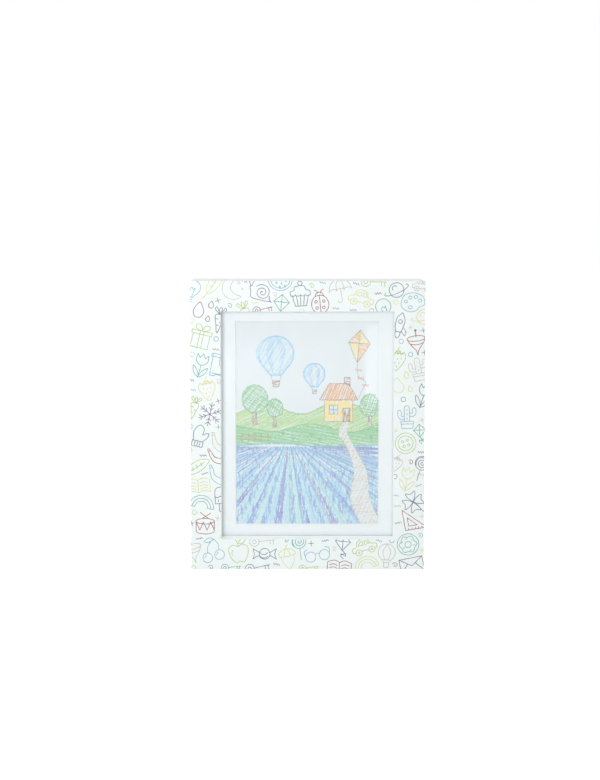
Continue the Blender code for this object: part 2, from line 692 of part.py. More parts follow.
def build_box(kinds):
    """The box that hangs on the wall, with what it stores."""
    walls = box_walls(kinds)
    board = back_panel(kinds)
    half_width = FRAME_WIDTH / 2 - PANEL_INSET
    half_height = FRAME_HEIGHT / 2 - PANEL_INSET
    ring_of_points("panel_point", half_width, half_height, PANEL_BACK_Y + SEAT_GAP, walls, kinds)
    stored_sheets(kinds)
    elastic_straps(walls, kinds)
    sawtooth_hanger(board, kinds)
    return walls


def build_door(kinds, pivot):
    """The door frame with its wrap, its cover, its mat and the drawing on show."""
    rails = door_rails(kinds, pivot)
    wrap = printed_wrap(kinds, pivot)
    glazed_picture(kinds, pivot)
    corner_pockets(kinds, pivot)
    half_width = OPENING_WIDTH / 2 + REBATE_WIDTH
    half_height = OPENING_HEIGHT / 2 + REBATE_WIDTH
    ring_of_points("mat_point", half_width, half_height, MAT_BACK_Y + SEAT_GAP, rails, kinds, pivot)
    return rails, wrap


def main():
    """Clears the scene and builds the art frame."""
    for obj in list(bpy.data.objects):
        bpy.data.objects.remove(obj, do_unlink=True)
    kinds = materials()
    pivot = bpy.data.objects.new("door_pivot", None)
    bpy.context.scene.collection.objects.link(pivot)
    pivot.location = (HINGE_X, HINGE_Y, 0)
    walls = build_box(kinds)
    rails, wrap = build_door(kinds, pivot)
    butt_hinges(walls, rails, wrap, pivot, kinds)
    closing_magnets(walls, rails, pivot, kinds)


main()
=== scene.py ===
"""The looks of a children's art frame: a printed, glazed and matted door frame hinged on a shallow white box.

Metres, +Z up. The printed front faces -Y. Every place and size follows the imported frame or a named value.
"""

import math
import random
import re

import bmesh
import bpy
import numpy as np
from mathutils import Matrix, Vector
from mathutils.geometry import convex_hull_2d


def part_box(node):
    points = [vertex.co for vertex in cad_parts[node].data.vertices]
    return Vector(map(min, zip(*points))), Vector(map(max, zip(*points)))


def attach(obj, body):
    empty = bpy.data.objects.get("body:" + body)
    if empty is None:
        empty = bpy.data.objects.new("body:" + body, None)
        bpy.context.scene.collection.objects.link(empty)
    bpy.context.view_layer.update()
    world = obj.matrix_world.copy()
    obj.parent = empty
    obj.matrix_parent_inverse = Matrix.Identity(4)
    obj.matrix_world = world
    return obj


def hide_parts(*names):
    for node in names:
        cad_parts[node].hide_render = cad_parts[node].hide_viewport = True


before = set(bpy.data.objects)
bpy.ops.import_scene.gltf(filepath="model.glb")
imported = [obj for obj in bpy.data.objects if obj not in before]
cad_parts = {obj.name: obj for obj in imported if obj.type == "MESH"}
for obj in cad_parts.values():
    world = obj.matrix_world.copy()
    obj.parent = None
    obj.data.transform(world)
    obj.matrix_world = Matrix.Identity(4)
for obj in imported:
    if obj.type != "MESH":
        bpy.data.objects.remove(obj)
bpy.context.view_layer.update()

MM = 0.001

# The frame's own places
WRAP_LOW, WRAP_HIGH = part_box("printed_wrap")
HALF_WIDTH = (WRAP_HIGH.x - WRAP_LOW.x) / 2
HEIGHT = WRAP_HIGH.z
MIDDLE_Z = HEIGHT / 2
FRONT_Y = WRAP_LOW.y
DOOR_BACK_Y = WRAP_HIGH.y
COVER_FRONT_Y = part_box("clear_cover")[0].y
RAIL_WIDTH = 42.5 * MM
OPENING_HALF_WIDTH = HALF_WIDTH - RAIL_WIDTH
OPENING_HALF_HEIGHT = MIDDLE_Z - RAIL_WIDTH
SHEET_LOW, SHEET_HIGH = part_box("displayed_sheet")
SHEET_HALF_WIDTH = SHEET_HIGH.x
SHEET_HALF_HEIGHT = (SHEET_HIGH.z - SHEET_LOW.z) / 2

# The printed wrap
PAPER_THICKNESS = 0.26 * MM
EDGE_ROUND = 0.7 * MM
CORNER_ROUND = 0.5 * MM
OPENING_CORNER_ROUND = 0.25 * MM
INK_LIFT = 0.04 * MM
TURN_IN = 4.6 * MM
FOLD_REACH = 11 * MM
FOLD_INSET = 0.6 * MM
FOLD_FRONT = 1.6 * MM
FOLD_CUT_FRONT = 3 * MM
FOLD_CUT_SHARE = 0.35
FOLD_BACK = 0.1 * MM
FOLD_THICKNESS = 0.03 * MM

# The border's print
LINE_WIDTH = 0.95 * MM
FILLER_LINE_SHARE = 0.8
LINE_PITCH = 0.9 * MM
LINE_SHAKE = 0.10 * MM
LINE_SHAKE_RATE = 0.45
PAST_EDGE = 0.2 * MM
MOTIF_SIZES = (36 * MM, 32 * MM, 28 * MM)
FILLER_SIZE = 9 * MM
MOTIF_GAP = 3.4 * MM
FILLER_GAP = 9.0 * MM
PACK_PITCH = 1.0 * MM
LEAST_INSIDE_SHARE = 0.6
INSIDE_WEIGHT = 0.25
MOTIF_TILT = 20
HULL_GRID = 25
TRIES = 260
LAYOUT_SEED = 11
ARC_STEP = 12
CURVE_STEPS = 7

# The hinges
HINGE_GAP = 0.3 * MM
GROOVE_SEGMENTS = 48

# The crayon drawings, whose pitches, shakes and line width are in millimetres
SHOWN_PITCH = 0.8
SHOWN_SEED = 5
STORED_PITCH = 1.2
STORED_SEED = 8
RESERVED_SHARE = 0.93
CRAYON_PITCH, CRAYON_SHAKE = 3.0, 0.22
PENCIL_PITCH, PENCIL_SHAKE, PENCIL_WIDTH = 1.4, 0.09, 0.62
SHEET_THICKNESS = 0.2 * MM
PENCIL_LIFT = 0.03 * MM

# The stored sheets
STACK_SHEETS = 20
STACK_SHIFT = 0.6 * MM
STACK_TURN = 0.25
STACK_SEED = 4
SHEET_SHARE = 0.86
TOP_SHEET_DEPTH = 0.06 * MM

# The straps
STRAP_THICKNESS = 1.0 * MM
STRAP_RIBS = 11
RIB_HEIGHT = 0.12 * MM
RIB_POINTS = 6
STRAP_BEND = 1.6 * MM
BEND_POINTS = 7
STRAP_PITCH = 1.2 * MM
PICK_PITCH = 0.9 * MM

# The view
CAMERA_PLACE = (-0.0201, -0.8637, 0.4781)
CAMERA_PITCH = 2.0
CAMERA_LENS = 28.34
CAMERA_SHIFT = (0.0089, -0.1815)
CAMERA_NEAR = 0.01
FLOOR_REACH = 6.0
FLOOR_GLOW = 0.68
SURROUND = 0.64
LAMPS = (
    ("key", (-0.56, -1.45, 0.73), (0.5, 0.5), 9.3),
    ("overhead", (0.0, -0.35, 1.9), (1.0, 1.0), 4.2),
    ("right", (1.9, 0.15, 0.25), (0.9, 0.3), 3),
    ("left", (-1.9, 0.15, 0.25), (0.9, 0.3), 1.2),
    ("rear", (0.6, 2.1, 0.2), (2.6, 0.36), 12),
    ("strip", (0.154, -0.5, 0.176), (0.027, 0.173), 0.017),
)

WHITE = (1.0, 1.0, 1.0, 1.0)
INKS = {
    "crimson": (0.32, 0.063, 0.105),
    "plum": (0.20, 0.146, 0.266),
    "slate": (0.155, 0.176, 0.254),
    "yellow": (0.66, 0.64, 0.26),
    "lime": (0.43, 0.51, 0.17),
    "teal": (0.16, 0.39, 0.365),
    "sky": (0.235, 0.43, 0.57),
    "beige": (0.56, 0.515, 0.475),
}
WAX = {
    "violet": (0.20, 0.17, 0.56),
    "indigo": (0.10, 0.11, 0.42),
    "blue": (0.14, 0.34, 0.72),
    "pale_blue": (0.34, 0.66, 0.84),
    "aqua": (0.40, 0.73, 0.77),
    "green": (0.22, 0.58, 0.24),
    "deep_green": (0.09, 0.36, 0.15),
    "yellow": (0.90, 0.74, 0.12),
    "orange": (0.88, 0.40, 0.09),
    "red": (0.66, 0.10, 0.12),
    "brown": (0.40, 0.19, 0.10),
    "sand": (0.76, 0.50, 0.30),
}


def link(obj):
    """Puts an object in the scene."""
    bpy.context.scene.collection.objects.link(obj)
    return obj


def add_piece(mesh, material, body, replaces=(), smooth_angle=30):
    """Makes a mesh a piece on a body. Its sides are flat where the angle is None."""
    mesh.materials.append(material)
    if smooth_angle:
        mesh.shade_smooth()
        mesh.set_sharp_from_angle(angle=math.radians(smooth_angle))
    obj = link(bpy.data.objects.new(mesh.name, mesh))
    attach(obj, body)
    if replaces:
        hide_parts(*replaces)
    return obj


def mesh_from(name, bm):
    """A mesh with its faces pointing out, from a bmesh that is freed."""
    bmesh.ops.recalc_face_normals(bm, faces=bm.faces)
    mesh = bpy.data.meshes.new(name)
    bm.to_mesh(mesh)
    bm.free()
    return mesh


# Node trees


class Nodes:
    """Short calls that build a node tree."""

    def __init__(self, tree):
        self.tree = tree

    def put(self, socket, value):
        """Gives an input a value, or links it to an output."""
        if isinstance(value, bpy.types.NodeSocket):
            self.tree.links.new(value, socket)
        else:
            socket.default_value = value

    def node(self, kind, inputs=None, **settings):
        """A shader node. Inputs are values, or sockets to link."""
        made = self.tree.nodes.new("ShaderNode" + kind)
        for key, value in settings.items():
            setattr(made, key, value)
        for key, value in (inputs or {}).items():
            self.put(made.inputs[key], value)
        return made

    def ramp(self, value, low, high, to_low=0.0, to_high=1.0, smooth=False):
        """A value's range from low to high, mapped to another."""
        inputs = {"Value": value, "From Min": low, "From Max": high, "To Min": to_low, "To Max": to_high}
        kind = "SMOOTHSTEP" if smooth else "LINEAR"
        return self.node("MapRange", inputs, interpolation_type=kind).outputs["Result"]

    def math(self, operation, first, second=0.0):
        """One operation on two values or sockets."""
        return self.node("Math", {0: first, 1: second}, operation=operation).outputs[0]

    def plus(self, first, second):
        """A sum."""
        return self.math("ADD", first, second)

    def times(self, first, second):
        """A product."""
        return self.math("MULTIPLY", first, second)

    def seen(self):
        """1 for the rays of the camera, of reflections and of clear materials, and 0 for the rays that light."""
        rays = self.node("LightPath").outputs
        others = self.math("MAXIMUM", rays["Is Glossy Ray"], rays["Is Transmission Ray"])
        return self.math("MAXIMUM", rays["Is Camera Ray"], others)


class Finish(Nodes):
    """A material under construction: a Principled BSDF and what feeds it."""

    def __init__(self, name, colour, roughness, metallic=0.0):
        self.material = bpy.data.materials.new(name)
        self.material.use_nodes = True
        super().__init__(self.material.node_tree)
        self.shader = self.tree.nodes["Principled BSDF"]
        self.colour = colour
        self.feed("Base Color", (*colour, 1.0))
        self.feed("Roughness", roughness)
        self.feed("Metallic", metallic)
        self.place = self.node("TexCoord").outputs["Object"]

    def feed(self, name, value):
        """Gives one of the shader's inputs a value or a socket."""
        self.put(self.shader.inputs[name], value)

    def paint(self, colour):
        """Gives the shader its colour, a socket."""
        self.feed("Base Color", colour)

    def show(self, shader):
        """Shows another shader in place of the Principled BSDF."""
        self.put(self.tree.nodes["Material Output"].inputs["Surface"], shader.outputs[0])
        self.tree.nodes.remove(self.shader)

    def stretched(self, stretch):
        """The object's coordinates, scaled along each axis."""
        return self.node("Mapping", {"Vector": self.place, "Scale": stretch}).outputs["Vector"]

    def facing(self):
        """The surface's normal along Y."""
        return self.node("SeparateXYZ", {"Vector": self.node("NewGeometry").outputs["Normal"]}).outputs["Y"]

    def noise(self, scale, detail=3.0, rough=0.5, place=None):
        """Noise from 0 to 1, with scale features to the metre."""
        inputs = {"Vector": place or self.place, "Scale": scale, "Detail": detail, "Roughness": rough}
        return self.node("TexNoise", inputs).outputs["Fac"]

    def mix(self, share, *colours):
        """A colour between two, each a tuple or a socket."""
        ends = [end if isinstance(end, bpy.types.NodeSocket) else (*end, 1.0) for end in colours]
        return self.node("Mix", {0: share, 6: ends[0], 7: ends[1]}, data_type="RGBA", clamp_factor=True).outputs[2]

    def mottled(self, amount, scale, detail=4.0):
        """The finish's colour, darker and lighter in soft patches by the amount."""
        dark = tuple(c * (1 - amount) for c in self.colour)
        light = tuple(min(1.0, c * (1 + amount)) for c in self.colour)
        return self.mix(self.ramp(self.noise(scale, detail), 0.3, 0.7), dark, light)

    def uneven_gloss(self, scale, low, high):
        """Roughness that wanders from low to high."""
        self.feed("Roughness", self.ramp(self.noise(scale, 5.0), 0.3, 0.7, low, high))

    def relief(self, height, depth, strength=1.0, edge=0.0):
        """Bump from a height of 0 to 1 that stands for depth metres, over edges that are softened by a radius."""
        bump = self.node("Bump", {"Height": height, "Distance": depth, "Strength": strength})
        if edge:
            self.put(bump.inputs["Normal"], self.node("Bevel", {"Radius": edge}, samples=6).outputs["Normal"])
        self.feed("Normal", bump.outputs["Normal"])


def wrap_paper():
    """Coated paper: a faint mottle, a fine tooth and handled, slightly uneven gloss."""
    finish = Finish("wrap_paper", (0.822, 0.88, 0.868), 0.45)
    finish.paint(finish.mottled(0.012, 30))
    finish.uneven_gloss(90, 0.38, 0.52)
    finish.relief(finish.noise(1500, 4.0, 0.6), 0.02 * MM, 0.5)
    return finish.material


def ink(name, colour):
    """Printed ink, a little uneven along the line."""
    finish = Finish("ink_" + name, colour, 0.5)
    finish.paint(finish.mottled(0.10, 350, 3.0))
    finish.uneven_gloss(500, 0.42, 0.58)
    return finish.material


def box_lacquer():
    """Sprayed white lacquer with a soft orange peel."""
    finish = Finish("box_lacquer", (0.84, 0.87, 0.865), 0.38)
    finish.paint(finish.mottled(0.015, 22))
    finish.uneven_gloss(60, 0.30, 0.46)
    finish.relief(finish.noise(420, 2.0), 0.03 * MM, 0.5, 0.7 * MM)
    return finish.material


def fibreboard():
    """Raw fibreboard: short pressed fibres on a tan ground."""
    finish = Finish("rail_board", (0.52, 0.38, 0.245), 0.78)
    fibres = finish.noise(900, 6.0, 0.75)
    dark = finish.ramp(fibres, 0.46, 0.70, 0.0, 0.8)
    finish.paint(finish.mix(dark, finish.mottled(0.035, 35), (0.30, 0.20, 0.115)))
    finish.relief(fibres, 0.05 * MM, 0.6, 0.35 * MM)
    return finish.material


def hardboard():
    """Hardboard: dark and mottled, with the screen's mesh pressed into its back."""
    finish = Finish("hardboard", (0.29, 0.185, 0.11), 0.6)
    specks = finish.noise(1400, 6.0, 0.7)
    pale = finish.ramp(specks, 0.5, 0.75, 0.0, 0.6)
    finish.paint(finish.mix(pale, finish.mottled(0.07, 160), (0.50, 0.35, 0.215)))
    finish.uneven_gloss(80, 0.5, 0.68)
    across, up = (
        finish.node("TexWave", {"Vector": finish.place, "Scale": 190.0}, bands_direction=axis).outputs["Fac"]
        for axis in "XZ"
    )
    mesh = finish.times(finish.times(across, up), finish.ramp(finish.facing(), 0.4, 0.6))
    finish.relief(finish.plus(mesh, finish.times(specks, 0.3)), 0.18 * MM, 0.7)
    return finish.material


def clear_cover():
    """Clear acrylic: light passes straight through, and the surface reflects with a few faint smears."""
    finish = Finish("clear_acrylic", WHITE[:3], 0.05)
    smears = finish.noise(18, 4.0, 0.6, finish.stretched((1.0, 1.0, 0.45)))
    gloss = finish.node("BsdfGlossy", {"Color": WHITE, "Roughness": finish.ramp(smears, 0.4, 0.75, 0.02, 0.16)})
    clear = finish.node("BsdfTransparent", {"Color": (0.996, 0.998, 0.998, 1.0)})
    front = finish.ramp(finish.node("NewGeometry").outputs["Backfacing"], 0.0, 1.0, 1.9, 0.0)
    share = finish.times(finish.node("Fresnel", {"IOR": 1.49}).outputs[0], front)
    finish.show(finish.node("MixShader", {0: share, 1: clear.outputs[0], 2: gloss.outputs[0]}))
    return finish.material


def mat_card():
    """Mat board: a felted face, and a bare white core on the slope of the window."""
    finish = Finish("mat_card", (0.825, 0.868, 0.885), 0.85)
    flat = finish.ramp(finish.math("ABSOLUTE", finish.facing()), 0.86, 0.95)
    finish.paint(finish.mix(flat, (0.87, 0.885, 0.89), finish.mottled(0.010, 40)))
    felt = finish.plus(finish.noise(900, 5.0, 0.65), finish.times(finish.noise(260, 3.0), 0.6))
    finish.relief(felt, 0.05 * MM, 0.6)
    return finish.material


def plain_paper(name, colour, edge_lines=False):
    """Drawing paper with a visible tooth. The edge of a stack is banded sheet by sheet."""
    finish = Finish(name, colour, 0.88)
    tone = finish.mottled(0.02, 60)
    if edge_lines:
        bands = finish.noise(3000, 2.0, 0.5, finish.stretched((0.02, 1.0, 0.02)))
        tone = finish.mix(finish.ramp(bands, 0.4, 0.6, 0.0, 0.25), tone, tuple(c * 0.72 for c in colour))
    finish.paint(tone)
    finish.relief(finish.noise(1300, 4.0, 0.6), 0.03 * MM, 0.5)
    return finish.material


def crayon_paper():
    """Paper under wax crayon: where the stroke is light, the wax catches only the top of the paper's tooth."""
    finish = Finish("crayon_drawing", (0.765, 0.82, 0.84), 0.85)
    wax = finish.node("Attribute", attribute_name="wax").outputs["Color"]
    pressure = finish.node("Attribute", attribute_name="pressure").outputs["Fac"]
    coarse, fine = finish.noise(800, 3.0, 0.6), finish.noise(2300, 2.0, 0.5)
    tooth = finish.plus(finish.times(coarse, 0.6), finish.times(fine, 0.4))
    caught = finish.plus(pressure, finish.ramp(tooth, 0.3, 0.7, -0.42, 0.42))
    cover = finish.ramp(caught, 0.36, 0.64, 0.0, 1.0, smooth=True)
    shown = finish.times(cover, finish.ramp(pressure, 0.02, 0.14))
    streaks = finish.ramp(finish.noise(260, 3.0), 0.3, 0.7, 0.0, 0.22)
    layer = finish.mix(streaks, wax, (0.93, 0.95, 0.96))
    finish.paint(finish.mix(finish.times(shown, 0.92), finish.mottled(0.015, 60), layer))
    finish.feed("Roughness", finish.ramp(shown, 0.0, 1.0, 0.88, 0.52))
    finish.relief(finish.plus(tooth, finish.times(shown, 0.5)), 0.04 * MM, 0.7)
    return finish.material


def pencil_lead():
    """Soft pencil, broken up by the paper's tooth."""
    finish = Finish("pencil", (0.13, 0.11, 0.14), 0.6)
    grain = finish.ramp(finish.noise(2200, 3.0, 0.6), 0.42, 0.62)
    finish.paint(finish.mix(grain, (0.11, 0.09, 0.12), (0.42, 0.42, 0.45)))
    return finish.material


def woven_elastic():
    """White elastic: crosswise picks over lengthwise ribs, with painted shade in the grooves between the picks."""
    finish = Finish("woven_elastic", (0.80, 0.81, 0.80), 0.82)
    along = finish.node("Attribute", attribute_name="along").outputs["Fac"]
    picks = finish.math("ABSOLUTE", finish.math("SINE", finish.times(along, math.pi / PICK_PITCH)))
    # Painted shade: grey is mixed in where the picks dip, standing in for the shade that falls in the grooves
    # between them
    between = finish.ramp(picks, 0.0, 0.5, 0.55, 0.0)
    finish.paint(finish.mix(between, finish.mottled(0.03, 120), (0.50, 0.51, 0.53)))
    finish.relief(finish.plus(picks, finish.times(finish.noise(2600, 3.0, 0.6), 0.5)), 0.12 * MM, 0.8)
    finish.feed("Sheen Weight", 0.25)
    return finish.material


def metal(name, colour, low, high, scratch=(1.0, 1.0, 1.0), spangle=0.0):
    """Plated metal with fine scratches, and the patchy crystals of a zinc bath where there is spangle."""
    finish = Finish(name, colour, low, 1.0)
    lines = finish.noise(1600, 4.0, 0.6, finish.stretched(scratch))
    finish.feed("Roughness", finish.ramp(lines, 0.3, 0.7, low, high))
    tone = finish.mottled(0.05, 300)
    if spangle:
        cells = finish.node("TexVoronoi", {"Vector": finish.place, "Scale": 420.0}).outputs["Color"]
        grey = finish.node("RGBToBW", {"Color": cells}).outputs["Val"]
        tone = finish.mix(finish.times(grey, spangle), tone, tuple(c * 0.6 for c in colour))
    finish.paint(tone)
    finish.relief(lines, 0.01 * MM, 0.5, 0.2 * MM)
    return finish.material


# Curves, and shapes written as text


def arc(x, z, radius, start, end, squash=1.0):
    """An arc in degrees from +X towards +Z. Squash flattens it along Z."""
    count = max(4, round(abs(end - start) / ARC_STEP))
    points = []
    for step in range(count + 1):
        angle = math.radians(start + (end - start) * step / count)
        points.append((x + radius * math.cos(angle), z + radius * squash * math.sin(angle)))
    return points


def circle(x, z, radius, squash=1.0):
    """A whole ring."""
    return arc(x, z, radius, 0, 360, squash)


def smooth(*knots):
    """A curve through the knots. It closes smoothly where the last knot is the first."""
    closed = knots[0] == knots[-1]
    before = [knots[-2] if closed else knots[0]]
    after = [knots[1] if closed else knots[-1]]
    knots = before + list(knots) + after
    points = []
    for a, b, c, d in zip(knots, knots[1:], knots[2:], knots[3:]):
        for step in range(CURVE_STEPS):
            t = step / CURVE_STEPS
            points.append(tuple(
                b[k] + t * (c[k] - a[k]) / 2
                + t * t * (a[k] - 2.5 * b[k] + 2 * c[k] - d[k] / 2)
                + t * t * t * (1.5 * (b[k] - c[k]) + (d[k] - a[k]) / 2)
                for k in (0, 1)
            ))
    return points + [knots[-2]]


def spiral(x, z, radius, turns):
    """A spiral from its centre out to the radius."""
    count = round(turns * 360 / ARC_STEP)
    points = []
    for step in range(count + 1):
        share = step / count
        angle = math.tau * turns * step / count
        points.append((x + radius * share * math.cos(angle), z + radius * share * math.sin(angle)))
    return points


def ripple(x, z, radius, depth, count):
    """A smooth ring that swings in and out by the depth."""
    knots = []
    for k in range(round(count) + 1):
        reach, angle = radius + depth * (-1) ** k, math.tau * k / count
        knots.append((x + reach * math.cos(angle), z + reach * math.sin(angle)))
    return smooth(*knots)


def placed(stroke, x, z, along=1.0, across=0.0):
    """A copy of a stroke, turned and scaled by the complex number along + across i, and moved."""
    return [(px * along - pz * across + x, px * across + pz * along + z) for px, pz in stroke]


def mirrored(stroke):
    """The other half of a symmetrical stroke."""
    return [(-x, z) for x, z in stroke]


CURVES = {"A": arc, "C": circle, "O": spiral, "R": ripple}


def strokes_of(drawing):
    """The strokes of a drawing written as text, in which a semicolon lifts the pen.

    L and S join points by straight lines or one smooth curve. A is an arc (x,z radius start end, squash), C a
    circle (x,z radius, squash), O a spiral (x,z radius turns) and R a ripple (x,z radius depth count). In front of a
    stroke, = adds its mirror image, 6* turns six copies about the middle, and each @x,z places a copy there, where
    a third and fourth number scale and turn it.
    """
    strokes = []
    for text in drawing.split(";"):
        copies, *runs = re.split("([LSACOR])", text)
        stroke = []
        for pen, given in zip(runs[::2], runs[1::2]):
            points = [tuple(float(number) for number in point.split(",")) for point in given.split()]
            if pen == "L":
                stroke += points
            elif pen == "S":
                stroke += smooth(*points)
            else:
                stroke += CURVES[pen](*sum(points, ()))
        if "=" in copies:
            strokes += [stroke, mirrored(stroke)]
        elif "*" in copies:
            count = int(copies.strip(" *"))
            turns = [math.tau * copy / count for copy in range(count)]
            strokes += [placed(stroke, 0, 0, math.cos(turn), math.sin(turn)) for turn in turns]
        elif "@" in copies:
            places = [[float(number) for number in place.strip("@").split(",")] for place in copies.split()]
            strokes += [placed(stroke, *place) for place in places]
        else:
            strokes.append(stroke)
    return strokes


